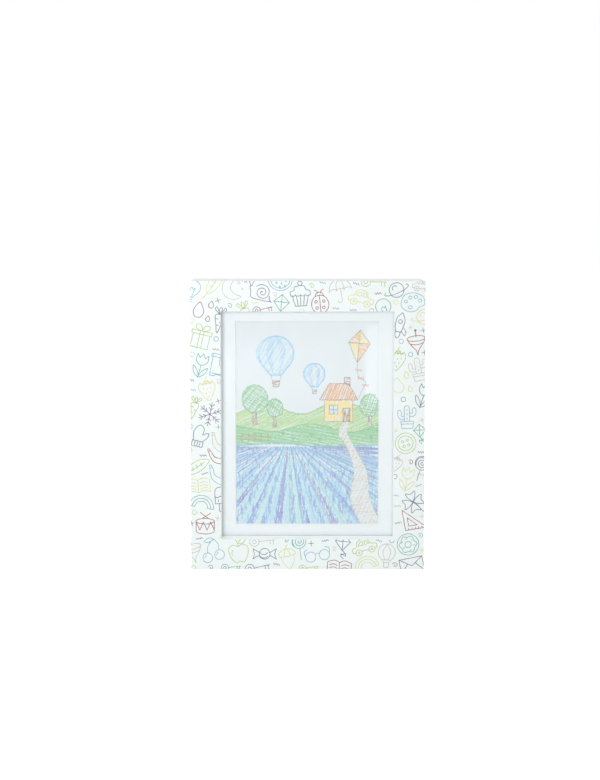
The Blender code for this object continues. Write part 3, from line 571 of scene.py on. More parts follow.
# The print's motifs, each in a square from -1 to 1, and the small marks between them
MOTIFS = {
    "umbrella": "A 0,.05 .87 0 180; L 0,.92 0,1; L 0,.2 0,-.7 A -.16,-.7 .16 0 -180;"
                "@-.58,.05 @0,.05 @.58,.05 A 0,0 .29 0 180 .55; = S 0,.92 .25,.6 .29,.05",
    "car": "S -.96,-.36 -.94,-.02 -.6,.08 -.36,.52 .3,.52 .56,.08 .94,-.04 .96,-.36;"
           "C -.52,-.4 .24; C .52,-.4 .24; C -.52,-.4 .07; C .52,-.4 .07;"
           "L -.96,-.36 -.76,-.36; L -.28,-.36 .28,-.36; L .76,-.36 .96,-.36;"
           "L -.42,.1 -.26,.38 -.04,.38 -.04,.1 -.42,.1; L .1,.1 .1,.38 .26,.38 .42,.1 .1,.1",
    "rocket": "S 0,1 .3,.56 .32,0 .2,-.5 S -.2,-.5 -.32,0 -.3,.56 0,1; C 0,.3 .15;"
              "S -.16,-.52 -.18,-.76 0,-1 .18,-.76 .16,-.52; = L .3,-.06 .62,-.42 .56,-.7 .22,-.42",
    "air_balloon": "A 0,.3 .66 -35 215; L -.2,-.52 .2,-.52 .16,-.92 -.16,-.92 -.2,-.52; L -.32,-.3 .32,-.3;"
                   "= L .5406403492,-.078560448 .2,-.52; = S 0,.96 .3,.3 .1,-.34",
    "cactus": "L -.2,-.42 -.2,.6 A 0,.6 .2 180 0 L .2,.6 .2,-.42;"
              "S -.2,0 -.42,0 -.44,.34 -.58,.46 -.7,.34 -.66,-.1 -.46,-.24 -.2,-.24;"
              "S .2,.2 .42,.22 .44,.52 .57,.62 .7,.52 .66,.1 .46,-.04 .2,-.04;"
              "L -.5,-.42 .5,-.42 .4,-.98 -.4,-.98 -.5,-.42; L -.46,-.62 .46,-.62; @0,-.25 @0,.08 @0,.4 L 0,0 0,.12",
    "snail": "O .16,-.02 .62 2.4; S -.72,.34 -.86,.2 -.72,-.1 -.66,-.5 -.2,-.62 .98,-.62;"
             "S .74,-.2 .82,-.5 .98,-.62; L -.82,.32 -.98,.66; L -.72,.34 -.62,.68",
    "cupcake": "L -.62,-.1 -.42,-.92 .42,-.92 .62,-.1;"
               "S -.76,-.04 -.74,.22 -.46,.3 -.44,.54 -.12,.62 .02,.66 .34,.58 .46,.32 .74,.22 .76,-.04;"
               "C .02,.82 .17; L -.3,-.14 -.21,-.92; L 0,-.14 0,-.92; L .3,-.14 .21,-.92;"
               "@-.57,-.04 @-.19,-.04 @.19,-.04 @.57,-.04 A 0,0 .19 180 360 .6",
    "gift": "L -.66,.2 -.66,-.86 .66,-.86 .66,.2; L -.78,.2 -.78,.46 .78,.46 .78,.2 -.78,.2;"
            "= L .14,.46 .14,-.86; = S 0,.46 .2,.9 .52,.9 .46,.6 0,.46",
    "tulip": "S -.42,.86 -.46,.4 -.24,.1 0,.04 .24,.1 .46,.4 .42,.86; L -.42,.86 -.2,.58 0,.94 .2,.58 .42,.86;"
             "L 0,.04 0,-.98; = S 0,-.9 .42,-.6 .56,-.1 .2,-.4 0,-.9",
    "palette": "S -.9,.06 -.62,.62 .1,.76 .8,.4 .86,-.2 .44,-.36 .2,-.6 -.3,-.66 -.8,-.36 -.9,.06;"
               "C -.24,-.32 .16 .8; @-.52,.16 @-.16,.42 @.26,.42 @.56,.12 C 0,0 .12",
    "strawberry": "S 0,.44 .56,.44 .6,0 .3,-.58 0,-.9 -.3,-.58 -.6,0 -.56,.44 0,.44;"
                  "L -.5,.56 -.22,.34 -.1,.66 .02,.34 .14,.66 .26,.34 .5,.56; S 0,.56 .02,.8 .14,.96;"
                  "@-.28,.12 @.02,.06 @.3,.12 @-.14,-.26 @.16,-.26 @.02,-.54 L 0,0 0,-.1",
    "kite": "L 0,1 .6,.42 0,-.3 -.6,.42 0,1; L 0,1 0,-.3; L -.6,.42 .6,.42; S 0,-.3 .2,-.5 -.08,-.7 .16,-.95;"
            "L -.06,-.56 .3,-.72 .3,-.5 -.06,-.66 -.06,-.56",
    "planet": "C 0,0 .56; @0,0,.94,.34 A 0,0 .98 150 390 .26; A -.12,.14 .2 40 220",
    "drum": "C 0,.28 .7 .32; A 0,-.5 .7 180 360 .32; L -.7,.2 -.42,-.42 -.14,.2 .14,-.42 .42,.2 .7,-.42;"
            "= L .7,.28 .7,-.5; L -.2,.5 .44,.92; L .3,.46 -.36,.96",
    "boot": "L -.46,.86 -.46,-.66 .76,-.66 S .76,-.66 .84,-.3 .5,-.08 .14,.1 .12,.86;"
            "L -.56,.86 .22,.86 .22,.62 -.56,.62 -.56,.86;"
            "L -.46,-.66 -.46,-.84 -.1,-.84 -.04,-.72 .78,-.72 .76,-.66",
    "ladybird": "C 0,-.16 .66 1.08; L 0,.54 0,-.86; A 0,.46 .32 0 180; = C .3,.06 .1; = C .26,-.42 .1;"
                "= S .1,.72 .2,.9 .36,.98",
    "book": "= S 0,-.5 .4,-.36 .92,-.5 L .92,.46 S .92,.46 .4,.62 0,.46; L 0,.46 0,-.5;"
            "= S .16,.22 .44,.32 .76,.24; = S .16,-.02 .44,.08 .76,0; = S .16,-.24 .44,-.14 .76,-.22",
    "key": "C -.6,0 .36; C -.6,0 .14; L -.24,0 .98,0; L .62,0 .62,-.28; L .86,0 .86,-.34",
    "apple": "S 0,.42 .36,.56 .74,.3 .66,-.35 .3,-.84 0,-.74 -.3,-.84 -.66,-.35 -.74,.3 -.36,.56 0,.42;"
             "S 0,.42 0,.7 -.12,.95; S .06,.66 .3,.96 .66,.88 .4,.66 .06,.66; A -.2,-.1 .34 130 200",
    "feather": "S -.5,-.62 -.52,-.1 0,.66 .8,.96 .62,.2 .1,-.4 -.5,-.62; S -.92,-.98 -.4,-.46 .5,.66;"
               "@.1,.1 @.36,.36 @.62,.62 L -.2,-.26 -.38,-.08",
    "bulb": "A 0,.24 .58 -50 230; L -.14,-.46 -.18,.1 -.06,.24 .06,.1 .18,.24 .14,-.46;"
            "= L .3728168136,-.204305777 .24,-.5; @0,-.5 @0,-.66 @0,-.82 L -.24,0 .24,0",
    "melon": "A 0,.42 .94 180 360; A 0,.42 .76 180 360; L -.94,.42 .94,.42;"
             "@-.36,.12 @.02,-.02 @.38,.12 @-.18,-.24 @.22,-.24 S 0,.1 .05,0 0,-.05 -.05,0 0,.1",
    "ice_lolly": "L -.4,-.35 -.4,.55 A 0,.55 .4 180 0 L .4,-.35 -.4,-.35;"
                 "L -.11,-.35 -.11,-.9 A 0,-.88 .11 180 360 L .11,-.35;"
                 "S -.4,.2 -.2,.1 0,.24 .2,.1 .4,.2; L -.14,-.2 -.14,-.05; L .14,-.2 .14,-.05",
    "mitten": "S -.34,-.4 -.46,.3 -.1,.86 .28,.6 .26,.14 .42,.26 .7,.34 .66,0 .34,-.4;"
              "L -.42,-.4 .42,-.4 .42,-.82 -.42,-.82 -.42,-.4; @-.2,0 @0,0 @.2,0 L 0,-.48 0,-.74",
    "cherries": "C -.48,-.52 .38; C .46,-.4 .38; S .16,.9 -.2,1 -.6,.78 -.2,.68 .16,.9; S -.44,-.14 -.3,.45 .16,.9;"
                "S .46,-.02 .46,.45 .16,.9; A -.48,-.52 .22 110 180; A .46,-.4 .22 110 180",
    "rainbow": "A 0,-.5 .95 0 180; A 0,-.5 .72 0 180; A 0,-.5 .49 0 180; = L .49,-.5 .95,-.5",
    "acorn": "S -.5,.16 -.42,-.4 0,-.92 .42,-.4 .5,.16; S -.62,.14 -.5,.5 0,.66 .5,.5 .62,.14 0,.06 -.62,.14;"
             "S 0,.66 .04,.84 .16,.96; L -.28,.12 -.1,.6; L .28,.12 .1,.6",
    "snowflake": "6* L 0,0 0,.92; 6* L -.2,.8 0,.6 .2,.8; 6* L -.16,.5 0,.34 .16,.5",
    "glasses": "= C .54,-.06 .4; A 0,0 .16 20 160; = S .94,.06 .98,.4 .7,.56",
    "lollipop": "O 0,.42 .5 2.6; C 0,.42 .54; L 0,-.12 0,-1",
    "carrot": "S -.34,.34 -.2,-.3 0,-.98 .2,-.3 .34,.34 0,.46 -.34,.34; S 0,.46 -.42,.8 -.32,1 -.2,.82 0,.46;"
              "S 0,.46 -.1,.8 0,1 .12,.82 0,.46; S 0,.46 .22,.8 .32,1 .44,.82 0,.46;"
              "L -.27,.1 -.08,.08; L .2,-.14 .04,-.16; L -.14,-.4 0,-.42",
    "spinning_top": "C 0,.3 .7 .3; S -.7,.3 -.5,-.1 -.1,-.62 0,-.98 .1,-.62 .5,-.1 .7,.3; L 0,.4 0,.92;"
                    "C 0,.92 .07; A 0,-.02 .48 200 340 .34",
    "envelope": "L -.9,-.56 -.9,.56 .9,.56 .9,-.56 -.9,-.56; L -.9,.56 0,-.06 .9,.56; = L .9,-.56 .3,.14",
    "banana": "S -.86,.5 -.6,-.3 .1,-.66 .84,-.34; S -.86,.5 -.66,.56 -.4,.02 .14,-.2 .84,-.34;"
              "L -.86,.5 -.92,.74 -.76,.76 -.66,.56",
    "doughnut": "C 0,0 .84; R 0,0 .64 .07 12; C 0,0 .24;"
                "@-.5,.16 @-.14,.42 @.3,.32 @.42,-.1 @.1,-.5 @-.4,-.28 L 0,0 .1,.06",
    "clover": "4* S .02,.05 .27,.38 .36,.78 0,.64 -.36,.78 -.27,.38 -.02,.05; S 0,0 .3,-.5 .5,-.98",
    "set_square": "L -.76,-.72 .9,-.72 -.76,.9 -.76,-.72; L -.46,-.42 .2,-.42 -.46,.24 -.46,-.42;"
                  "@-.5,0 @-.24,0 @.02,0 @.28,0 @.54,0 L 0,-.72 0,-.58",
    "sweet": "C 0,0 .42; A -.06,.3 .36 200 330; A -.06,.02 .36 200 330; = L .4,.1 .9,.4 .78,0 .9,-.4 .4,-.1",
    "crescent": "A 0,0 .86 60 300; S .43,-.7447818473 -.02,-.42 -.22,0 -.02,.42 .43,.7447818473;"
                "C .5,.3 .09; C .66,-.22 .06",
    "raindrops": "@-.3,-.1,1.3 @.56,.5,.6 @.5,-.6,.5 S 0,.5 .3,.02 .22,-.3 0,-.4 -.22,-.3 -.3,.02 0,.5",
    "button": "C 0,0 .8; C 0,0 .58; @-.19,-.19 @-.19,.19 @.19,-.19 @.19,.19 C 0,0 .09",
}
FILLERS = {
    "cross": "L -.8,0 .8,0; L 0,-.8 0,.8",
    "ring": "C 0,0 .7",
    "curl": "O 0,0 .85 1.4",
    "wave": "S -1,.22 -.6,-.22 -.2,.22 .2,-.22 .6,.22 1,-.22",
    "zigzag": "L -1,.25 -.6,-.25 -.2,.25 .2,-.25 .6,.25 1,-.25",
}


# Strokes as thin raised lines


def resampled(points, pitch):
    """A stroke's points at an even pitch, as an array."""
    points = np.asarray(points, float)
    apart = np.hypot(*np.diff(points, axis=0).T) > 1e-9
    points = points[np.r_[True, apart]]
    run = np.r_[0, np.cumsum(np.hypot(*np.diff(points, axis=0).T))]
    at = np.linspace(0, run[-1], max(2, round(run[-1] / pitch) + 1))
    return np.c_[np.interp(at, run, points[:, 0]), np.interp(at, run, points[:, 1])]


def split_at_corners(points, sharpest=40):
    """A stroke's runs between its corners, so that each corner gets a round join."""
    points = [np.asarray(p, float) for p in points]
    runs, run = [], [points[0]]
    for here, after in zip(points[1:], points[2:] + [None]):
        run.append(here)
        if after is None:
            break
        a, b = here - run[-2], after - here
        turn = abs(math.degrees(math.atan2(a[0] * b[1] - a[1] * b[0], a @ b)))
        if turn > sharpest:
            runs.append(run)
            run = [here]
    return runs + [run]


def kept_runs(points, inside):
    """The runs of a stroke whose points are inside."""
    runs = []
    for start, stop in zip(*[np.flatnonzero(np.diff(np.r_[0, inside.astype(int), 0]) == s) for s in (1, -1)]):
        if stop - start > 2:
            runs.append(points[start:stop])
    return runs


def headings(points):
    """A line's direction at each of its points."""
    along = np.gradient(points, axis=0)
    return along / np.maximum(np.hypot(*along.T), 1e-12)[:, None]


def tube_faces(rings, sides, first=0):
    """The faces of a tube with closed ends, whose points are numbered ring by ring from the first."""
    index = first + np.arange(rings * sides).reshape(rings, sides)
    turned = np.roll(index, -1, 1)
    faces = np.stack([index[:-1], turned[:-1], turned[1:], index[1:]], -1).reshape(-1, 4).tolist()
    return faces + [index[0, ::-1].tolist(), index[-1].tolist()]


class RaisedLines:
    """Strokes in a plane as closed, round-ended ribbons that lie on a surface."""

    CAP = ((-1.0, 0.25), (-0.8, 0.68), (-0.4, 0.94))
    SECTION = ((1, 0), (0.8, 1), (0.27, 1), (-0.27, 1), (-0.8, 1), (-1, 0))

    def __init__(self, lift, place):
        self.lift = lift
        self.place = place
        self.points = []
        self.faces = []
        self.count = 0
        self.strokes = 0

    def add(self, points, width, seed=0.0):
        """One smooth stroke. Its width wanders a little, as a pen's does."""
        along = headings(points)
        run = np.arange(len(points))
        widths = width * (1 + 0.10 * np.sin(run * 0.31 + seed) + 0.05 * np.sin(run * 0.83 + 2 * seed))
        middles, ways, wide = [points], [along], [widths]
        for end, sign in ((0, 1), (-1, -1)):
            shares = self.CAP[::sign]
            cap = (
                np.array([points[end] + sign * share * along[end] * widths[end] / 2 for share, _ in shares]),
                np.repeat(along[[end]], len(shares), 0),
                np.array([share for _, share in shares]) * widths[end],
            )
            for group, extra in zip((middles, ways, wide), cap):
                group.insert(0 if end == 0 else len(group), extra)
        middles, ways, wide = np.concatenate(middles), np.concatenate(ways), np.concatenate(wide)
        left = np.c_[-ways[:, 1], ways[:, 0]] * wide[:, None] / 2
        rows, sides = len(middles), len(self.SECTION)
        # Each stroke has a height of its own and climbs a little, so that no two tops share a plane
        top = self.lift * (0.45 + 0.35 * (self.strokes * 3 % 7) / 6 + 0.2 * np.linspace(0, 1, rows))
        rings = []
        for side, raised in self.SECTION:
            at = middles + side * left
            rings.append(self.place(at[:, 0], at[:, 1], raised * top))
        self.points.append(np.stack(rings, 1).reshape(-1, 3))
        self.faces += tube_faces(rows, sides, self.count)
        self.count += sides * rows
        self.strokes += 1

    def piece(self, name, material, body, slot):
        """All the strokes as one piece."""
        mesh = bpy.data.meshes.new(name)
        mesh.from_pydata(np.concatenate(self.points), [], self.faces)
        add_piece(mesh, material, body)


# The border's print


def on_wrap(x, z, lift):
    """Points of the flat print on the wrap's front, carried over the rounded edges where they pass them."""
    flat_x, flat_z = np.array(x, float), np.array(z, float) - MIDDLE_Z
    drop = np.zeros(len(flat_x))
    in_x = np.abs(flat_x) < OPENING_HALF_WIDTH
    in_z = np.abs(flat_z) < OPENING_HALF_HEIGHT
    for value, outer, inner, beside in (
        (flat_x, HALF_WIDTH, OPENING_HALF_WIDTH, in_z),
        (flat_z, MIDDLE_Z, OPENING_HALF_HEIGHT, in_x),
    ):
        size, sign = np.abs(value), np.sign(value)
        for edge, way, allowed in ((outer - INK_LIFT, 1, True), (inner + INK_LIFT, -1, beside)):
            start = edge - way * EDGE_ROUND
            past = way * (size - start)
            turned = (past > 0) & (past < 4 * EDGE_ROUND) & allowed
            angle = np.clip(past / EDGE_ROUND, 0, math.pi / 2)
            moved = start + way * (EDGE_ROUND + lift) * np.sin(angle)
            value[turned] = (sign * moved)[turned]
            fall = EDGE_ROUND - (EDGE_ROUND + lift) * np.cos(angle)
            drop = np.where(turned, np.maximum(drop, fall), drop)
    y = FRONT_Y + INK_LIFT + np.where(drop == 0, -lift, drop)
    return np.c_[flat_x, y, flat_z + MIDDLE_Z]


def on_front(x, z, beyond=0.0):
    """True for points on the frame's front face, or up to a distance beyond its edges."""
    high = np.abs(z - MIDDLE_Z)
    outer = (np.abs(x) < HALF_WIDTH + beyond) & (high < MIDDLE_Z + beyond)
    opening = (np.abs(x) < OPENING_HALF_WIDTH - beyond) & (high < OPENING_HALF_HEIGHT - beyond)
    return outer & ~opening


def finer_at_edges(points, zone=2.0 * MM, parts=6):
    """The same stroke, with more points where the paper rounds over an edge."""
    x, high = np.abs(points[:, 0]), np.abs(points[:, 1] - MIDDLE_Z)
    outer = np.minimum(HALF_WIDTH - x, MIDDLE_Z - high)
    inner = np.maximum(x - OPENING_HALF_WIDTH, high - OPENING_HALF_HEIGHT)
    near = np.minimum(outer, inner) < zone
    finer = []
    for here, after, close in zip(points, points[1:], near[:-1] | near[1:]):
        count = parts if close else 1
        finer += [here + (after - here) * k / count for k in range(count)]
    return np.array(finer + [points[-1]])


def off_corners(points):
    """False for points where two rounded edges meet."""
    x, high = np.abs(points[:, 0]), np.abs(points[:, 1] - MIDDLE_Z)
    outer = np.maximum(HALF_WIDTH - x, MIDDLE_Z - high)
    inner = np.maximum(np.abs(x - OPENING_HALF_WIDTH), np.abs(high - OPENING_HALF_HEIGHT))
    return np.minimum(outer, inner) > EDGE_ROUND + LINE_WIDTH / 2


class Border:
    """Packs the motifs into the frame's front, tight but apart. They may run off its edges."""

    REACH = 60 * MM

    def __init__(self):
        self.random = random.Random(LAYOUT_SEED)
        cells = (round(2 * (HALF_WIDTH + self.REACH) / PACK_PITCH), round((HEIGHT + 2 * self.REACH) / PACK_PITCH))
        self.taken = np.zeros(cells, bool)
        self.near = np.zeros(cells, bool)
        self.placed = []

    def cells(self, points):
        """The grid's cells under points."""
        across = (points[:, 0] + HALF_WIDTH + self.REACH) / PACK_PITCH
        up = (points[:, 1] + self.REACH) / PACK_PITCH
        return across.astype(int), up.astype(int)

    def area(self, motif):
        """Points all over a motif's hull, in its own square."""
        points = [p for stroke in motif for p in stroke]
        hull = [points[k] for k in convex_hull_2d([Vector(p) for p in points])]
        grid = np.stack(np.meshgrid(*[np.linspace(-1, 1, HULL_GRID)] * 2), -1).reshape(-1, 2)
        sides = [
            (b[0] - a[0]) * (grid[:, 1] - a[1]) - (b[1] - a[1]) * (grid[:, 0] - a[0])
            for a, b in zip(hull, hull[1:] + hull[:1])
        ]
        signs = np.sign(np.array(sides))
        return np.concatenate([grid[(signs >= 0).all(0) | (signs <= 0).all(0)], np.array(points)])

    def turned(self, points, x, z, size, tilt):
        """A motif's points at their place on the frame."""
        c, s = math.cos(tilt) * size / 2, math.sin(tilt) * size / 2
        points = np.asarray(points, float)
        return np.c_[x + points[:, 0] * c - points[:, 1] * s, z + points[:, 0] * s + points[:, 1] * c]

    def mark(self, grid, points, radius):
        """Marks the cells within a radius of points."""
        across, up = self.cells(points)
        reach = round(radius / PACK_PITCH)
        for dx in range(-reach, reach + 1):
            for dz in range(-reach, reach + 1):
                if dx * dx + dz * dz <= reach * reach:
                    grid[across + dx, up + dz] = True

    def best_place(self, area, size):
        """The free place, out of many tries, that nestles closest to what is there."""
        best, found = -1.0, None
        for _ in range(TRIES):
            x = self.random.uniform(-HALF_WIDTH, HALF_WIDTH)
            z = self.random.uniform(0, HEIGHT)
            tilt = math.radians(self.random.uniform(-MOTIF_TILT, MOTIF_TILT))
            if not on_front(np.array([x]), np.array([z]), size / 8)[0]:
                continue
            points = self.turned(area, x, z, size, tilt)
            inside = on_front(points[:, 0], points[:, 1])
            if inside.mean() < LEAST_INSIDE_SHARE:
                continue
            cells = self.cells(points[inside])
            if self.taken[cells].any():
                continue
            score = self.near[cells].mean() + INSIDE_WEIGHT * inside.mean()
            if score > best:
                best, found = score, (x, z, tilt, points)
        return found

    def ink_for(self, x, z):
        """The ink whose nearest motif is farthest away."""
        names = list(INKS)
        self.random.shuffle(names)

        def nearest(name):
            gaps = [math.hypot(x - other[1], z - other[2]) for other in self.placed if other[5] == name]
            return min(gaps, default=1.0)

        return max(names, key=nearest)

    def fill(self, motifs, size, gap, misses):
        """Places motifs of one size, with a gap round each, until a row of them finds no room."""
        motifs = [strokes_of(text) for text in motifs]
        missed = 0
        while missed < misses:
            self.random.shuffle(motifs)
            for motif in motifs:
                found = self.best_place(self.area(motif), size)
                if not found:
                    missed += 1
                    continue
                missed = 0
                x, z, tilt, points = found
                self.placed.append((motif, x, z, size, tilt, self.ink_for(x, z)))
                self.mark(self.taken, points, gap)
                self.mark(self.near, points, 3 * gap)

    def pieces(self):
        """One piece of raised lines for each ink."""
        lines = {name: RaisedLines(INK_LIFT, on_wrap) for name in INKS}
        for number, (motif, x, z, size, tilt, name) in enumerate(self.placed):
            width = LINE_WIDTH * (FILLER_LINE_SHARE if size == FILLER_SIZE else 1.0)
            for part, stroke in enumerate(motif):
                for run in split_at_corners(stroke):
                    points = resampled(self.turned(run, x, z, size, tilt), LINE_PITCH)
                    shake = LINE_SHAKE * np.sin(np.arange(len(points)) * LINE_SHAKE_RATE + number + part)
                    points = finer_at_edges(points + np.c_[shake, np.roll(shake, 3)])
                    inside = on_front(points[:, 0], points[:, 1], PAST_EDGE) & off_corners(points)
                    for kept in kept_runs(points, inside):
                        lines[name].add(kept, width, number + part)
        for name, line in lines.items():
            line.piece("print_" + name, ink(name, INKS[name]), "door", "wrap_paper")


def printed_border():
    """Fills the border: the large motifs first, then smaller ones, then small marks in the gaps."""
    border = Border()
    for size in MOTIF_SIZES:
        border.fill(MOTIFS.values(), size, MOTIF_GAP, len(MOTIFS) // 2)
    border.fill(FILLERS.values(), FILLER_SIZE, FILLER_GAP, 2 * len(FILLERS))
    border.pieces()


# The wrap


def rounded_loop(half_width, half_height, radius, steps=4):
    """Points (x, z) of a rectangle with rounded corners, centred on the frame, counter-clockwise."""
    points = []
    for corner, (x, z) in enumerate(((1, 1), (-1, 1), (-1, -1), (1, -1))):
        for step in range(steps + 1):
            angle = math.pi / 2 * (corner + step / steps)
            points.append((
                x * (half_width - radius) + radius * math.cos(angle),
                MIDDLE_Z + z * (half_height - radius) + radius * math.sin(angle),
            ))
    return points


def printed_wrap(material):
    """The paper over the door's front and edges, softly rounded where it folds, and turned in behind the lip."""
    front = FRONT_Y + INK_LIFT
    arc_y = front + EDGE_ROUND
    behind_lip = COVER_FRONT_Y - INK_LIFT
    # Distances across are measured outwards from the opening's edge, first over the paper's outer face
    near, far = INK_LIFT, RAIL_WIDTH - INK_LIFT
    outer_edge = [(far, DOOR_BACK_Y)] + arc(far - EDGE_ROUND, arc_y, EDGE_ROUND, 0, -90)
    opening_edge = arc(near + EDGE_ROUND, arc_y, EDGE_ROUND, -90, -180) + [(near, behind_lip), (TURN_IN, behind_lip)]
    # Then back over its inner face
    front += PAPER_THICKNESS
    behind_lip -= PAPER_THICKNESS
    near, far = near + PAPER_THICKNESS, far - PAPER_THICKNESS
    opening_edge += [(TURN_IN, behind_lip), (near, behind_lip), (near, arc_y), (INK_LIFT + EDGE_ROUND, front)]
    outer_back = [(RAIL_WIDTH - INK_LIFT - EDGE_ROUND, front), (far, arc_y), (far, DOOR_BACK_Y)]
    bm = bmesh.new()
    loops = [
        [
            bm.verts.new((x, y, z))
            for x, z in rounded_loop(OPENING_HALF_WIDTH + across, OPENING_HALF_HEIGHT + across, radius)
        ]
        for points, radius in (
            (outer_edge, CORNER_ROUND), (opening_edge, OPENING_CORNER_ROUND), (outer_back, CORNER_ROUND),
        )
        for across, y in points
    ]
    for here, after in zip(loops, loops[1:] + loops[:1]):
        for k, vert in enumerate(here):
            following = (k + 1) % len(here)
            bm.faces.new((vert, here[following], after[following], after[k]))
    wrap = add_piece(mesh_from("wrap_skin", bm), material, "door", ("printed_wrap",))
    for level in ("upper", "lower"):
        carve_hinge(wrap, level)


def carve_hinge(wrap, level):
    """Takes a hinge's groove out of the wrap's back edge."""
    leaf_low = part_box(f"hinge_{level}_box_leaf")[0]
    low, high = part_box(f"hinge_{level}_pin")
    middle = (low + high) / 2
    radius = middle.x - leaf_low.x + HINGE_GAP
    bm = bmesh.new()
    bmesh.ops.create_cone(
        bm, cap_ends=True, segments=GROOVE_SEGMENTS, radius1=radius, radius2=radius,
        depth=high.z - low.z + 2 * HINGE_GAP, matrix=Matrix.Translation(middle),
    )
    groove = link(bpy.data.objects.new("groove", mesh_from("groove", bm)))
    cut = wrap.modifiers.new("groove", "BOOLEAN")
    cut.object = groove
    bpy.context.view_layer.update()
    carved = bpy.data.meshes.new_from_object(wrap.evaluated_get(bpy.context.evaluated_depsgraph_get()))
    wrap.modifiers.clear()
    wrap.data = carved
    bpy.data.objects.remove(groove)


def wrap_folds(material):
    """The ends of the side paper, folded over the top and bottom edges of the door and cut off at a slant."""
    back = DOOR_BACK_Y - FOLD_BACK
    for level, edge, z in (("top", 1, HEIGHT - INK_LIFT), ("bottom", -1, INK_LIFT)):
        for side, x in (("left", -1), ("right", 1)):
            bm = bmesh.new()
            outer = x * (HALF_WIDTH - FOLD_INSET)
            outline = (
                (outer, FRONT_Y + FOLD_FRONT),
                (outer, back),
                (outer - x * FOLD_REACH, back),
                (outer - x * FOLD_REACH * FOLD_CUT_SHARE, FRONT_Y + FOLD_CUT_FRONT),
            )
            face = bm.faces.new([bm.verts.new((px, py, z)) for px, py in outline])
            swept = bmesh.ops.extrude_face_region(bm, geom=[face])["geom"]
            moved = [item for item in swept if isinstance(item, bmesh.types.BMVert)]
            bmesh.ops.translate(bm, vec=(0, 0, edge * FOLD_THICKNESS), verts=moved)
            add_piece(mesh_from(f"wrap_fold_{level}_{side}", bm), material, "door")


# The drawings


def closed(shape):
    """A shape's outline, back to its first point."""
    return shape + shape[:1]


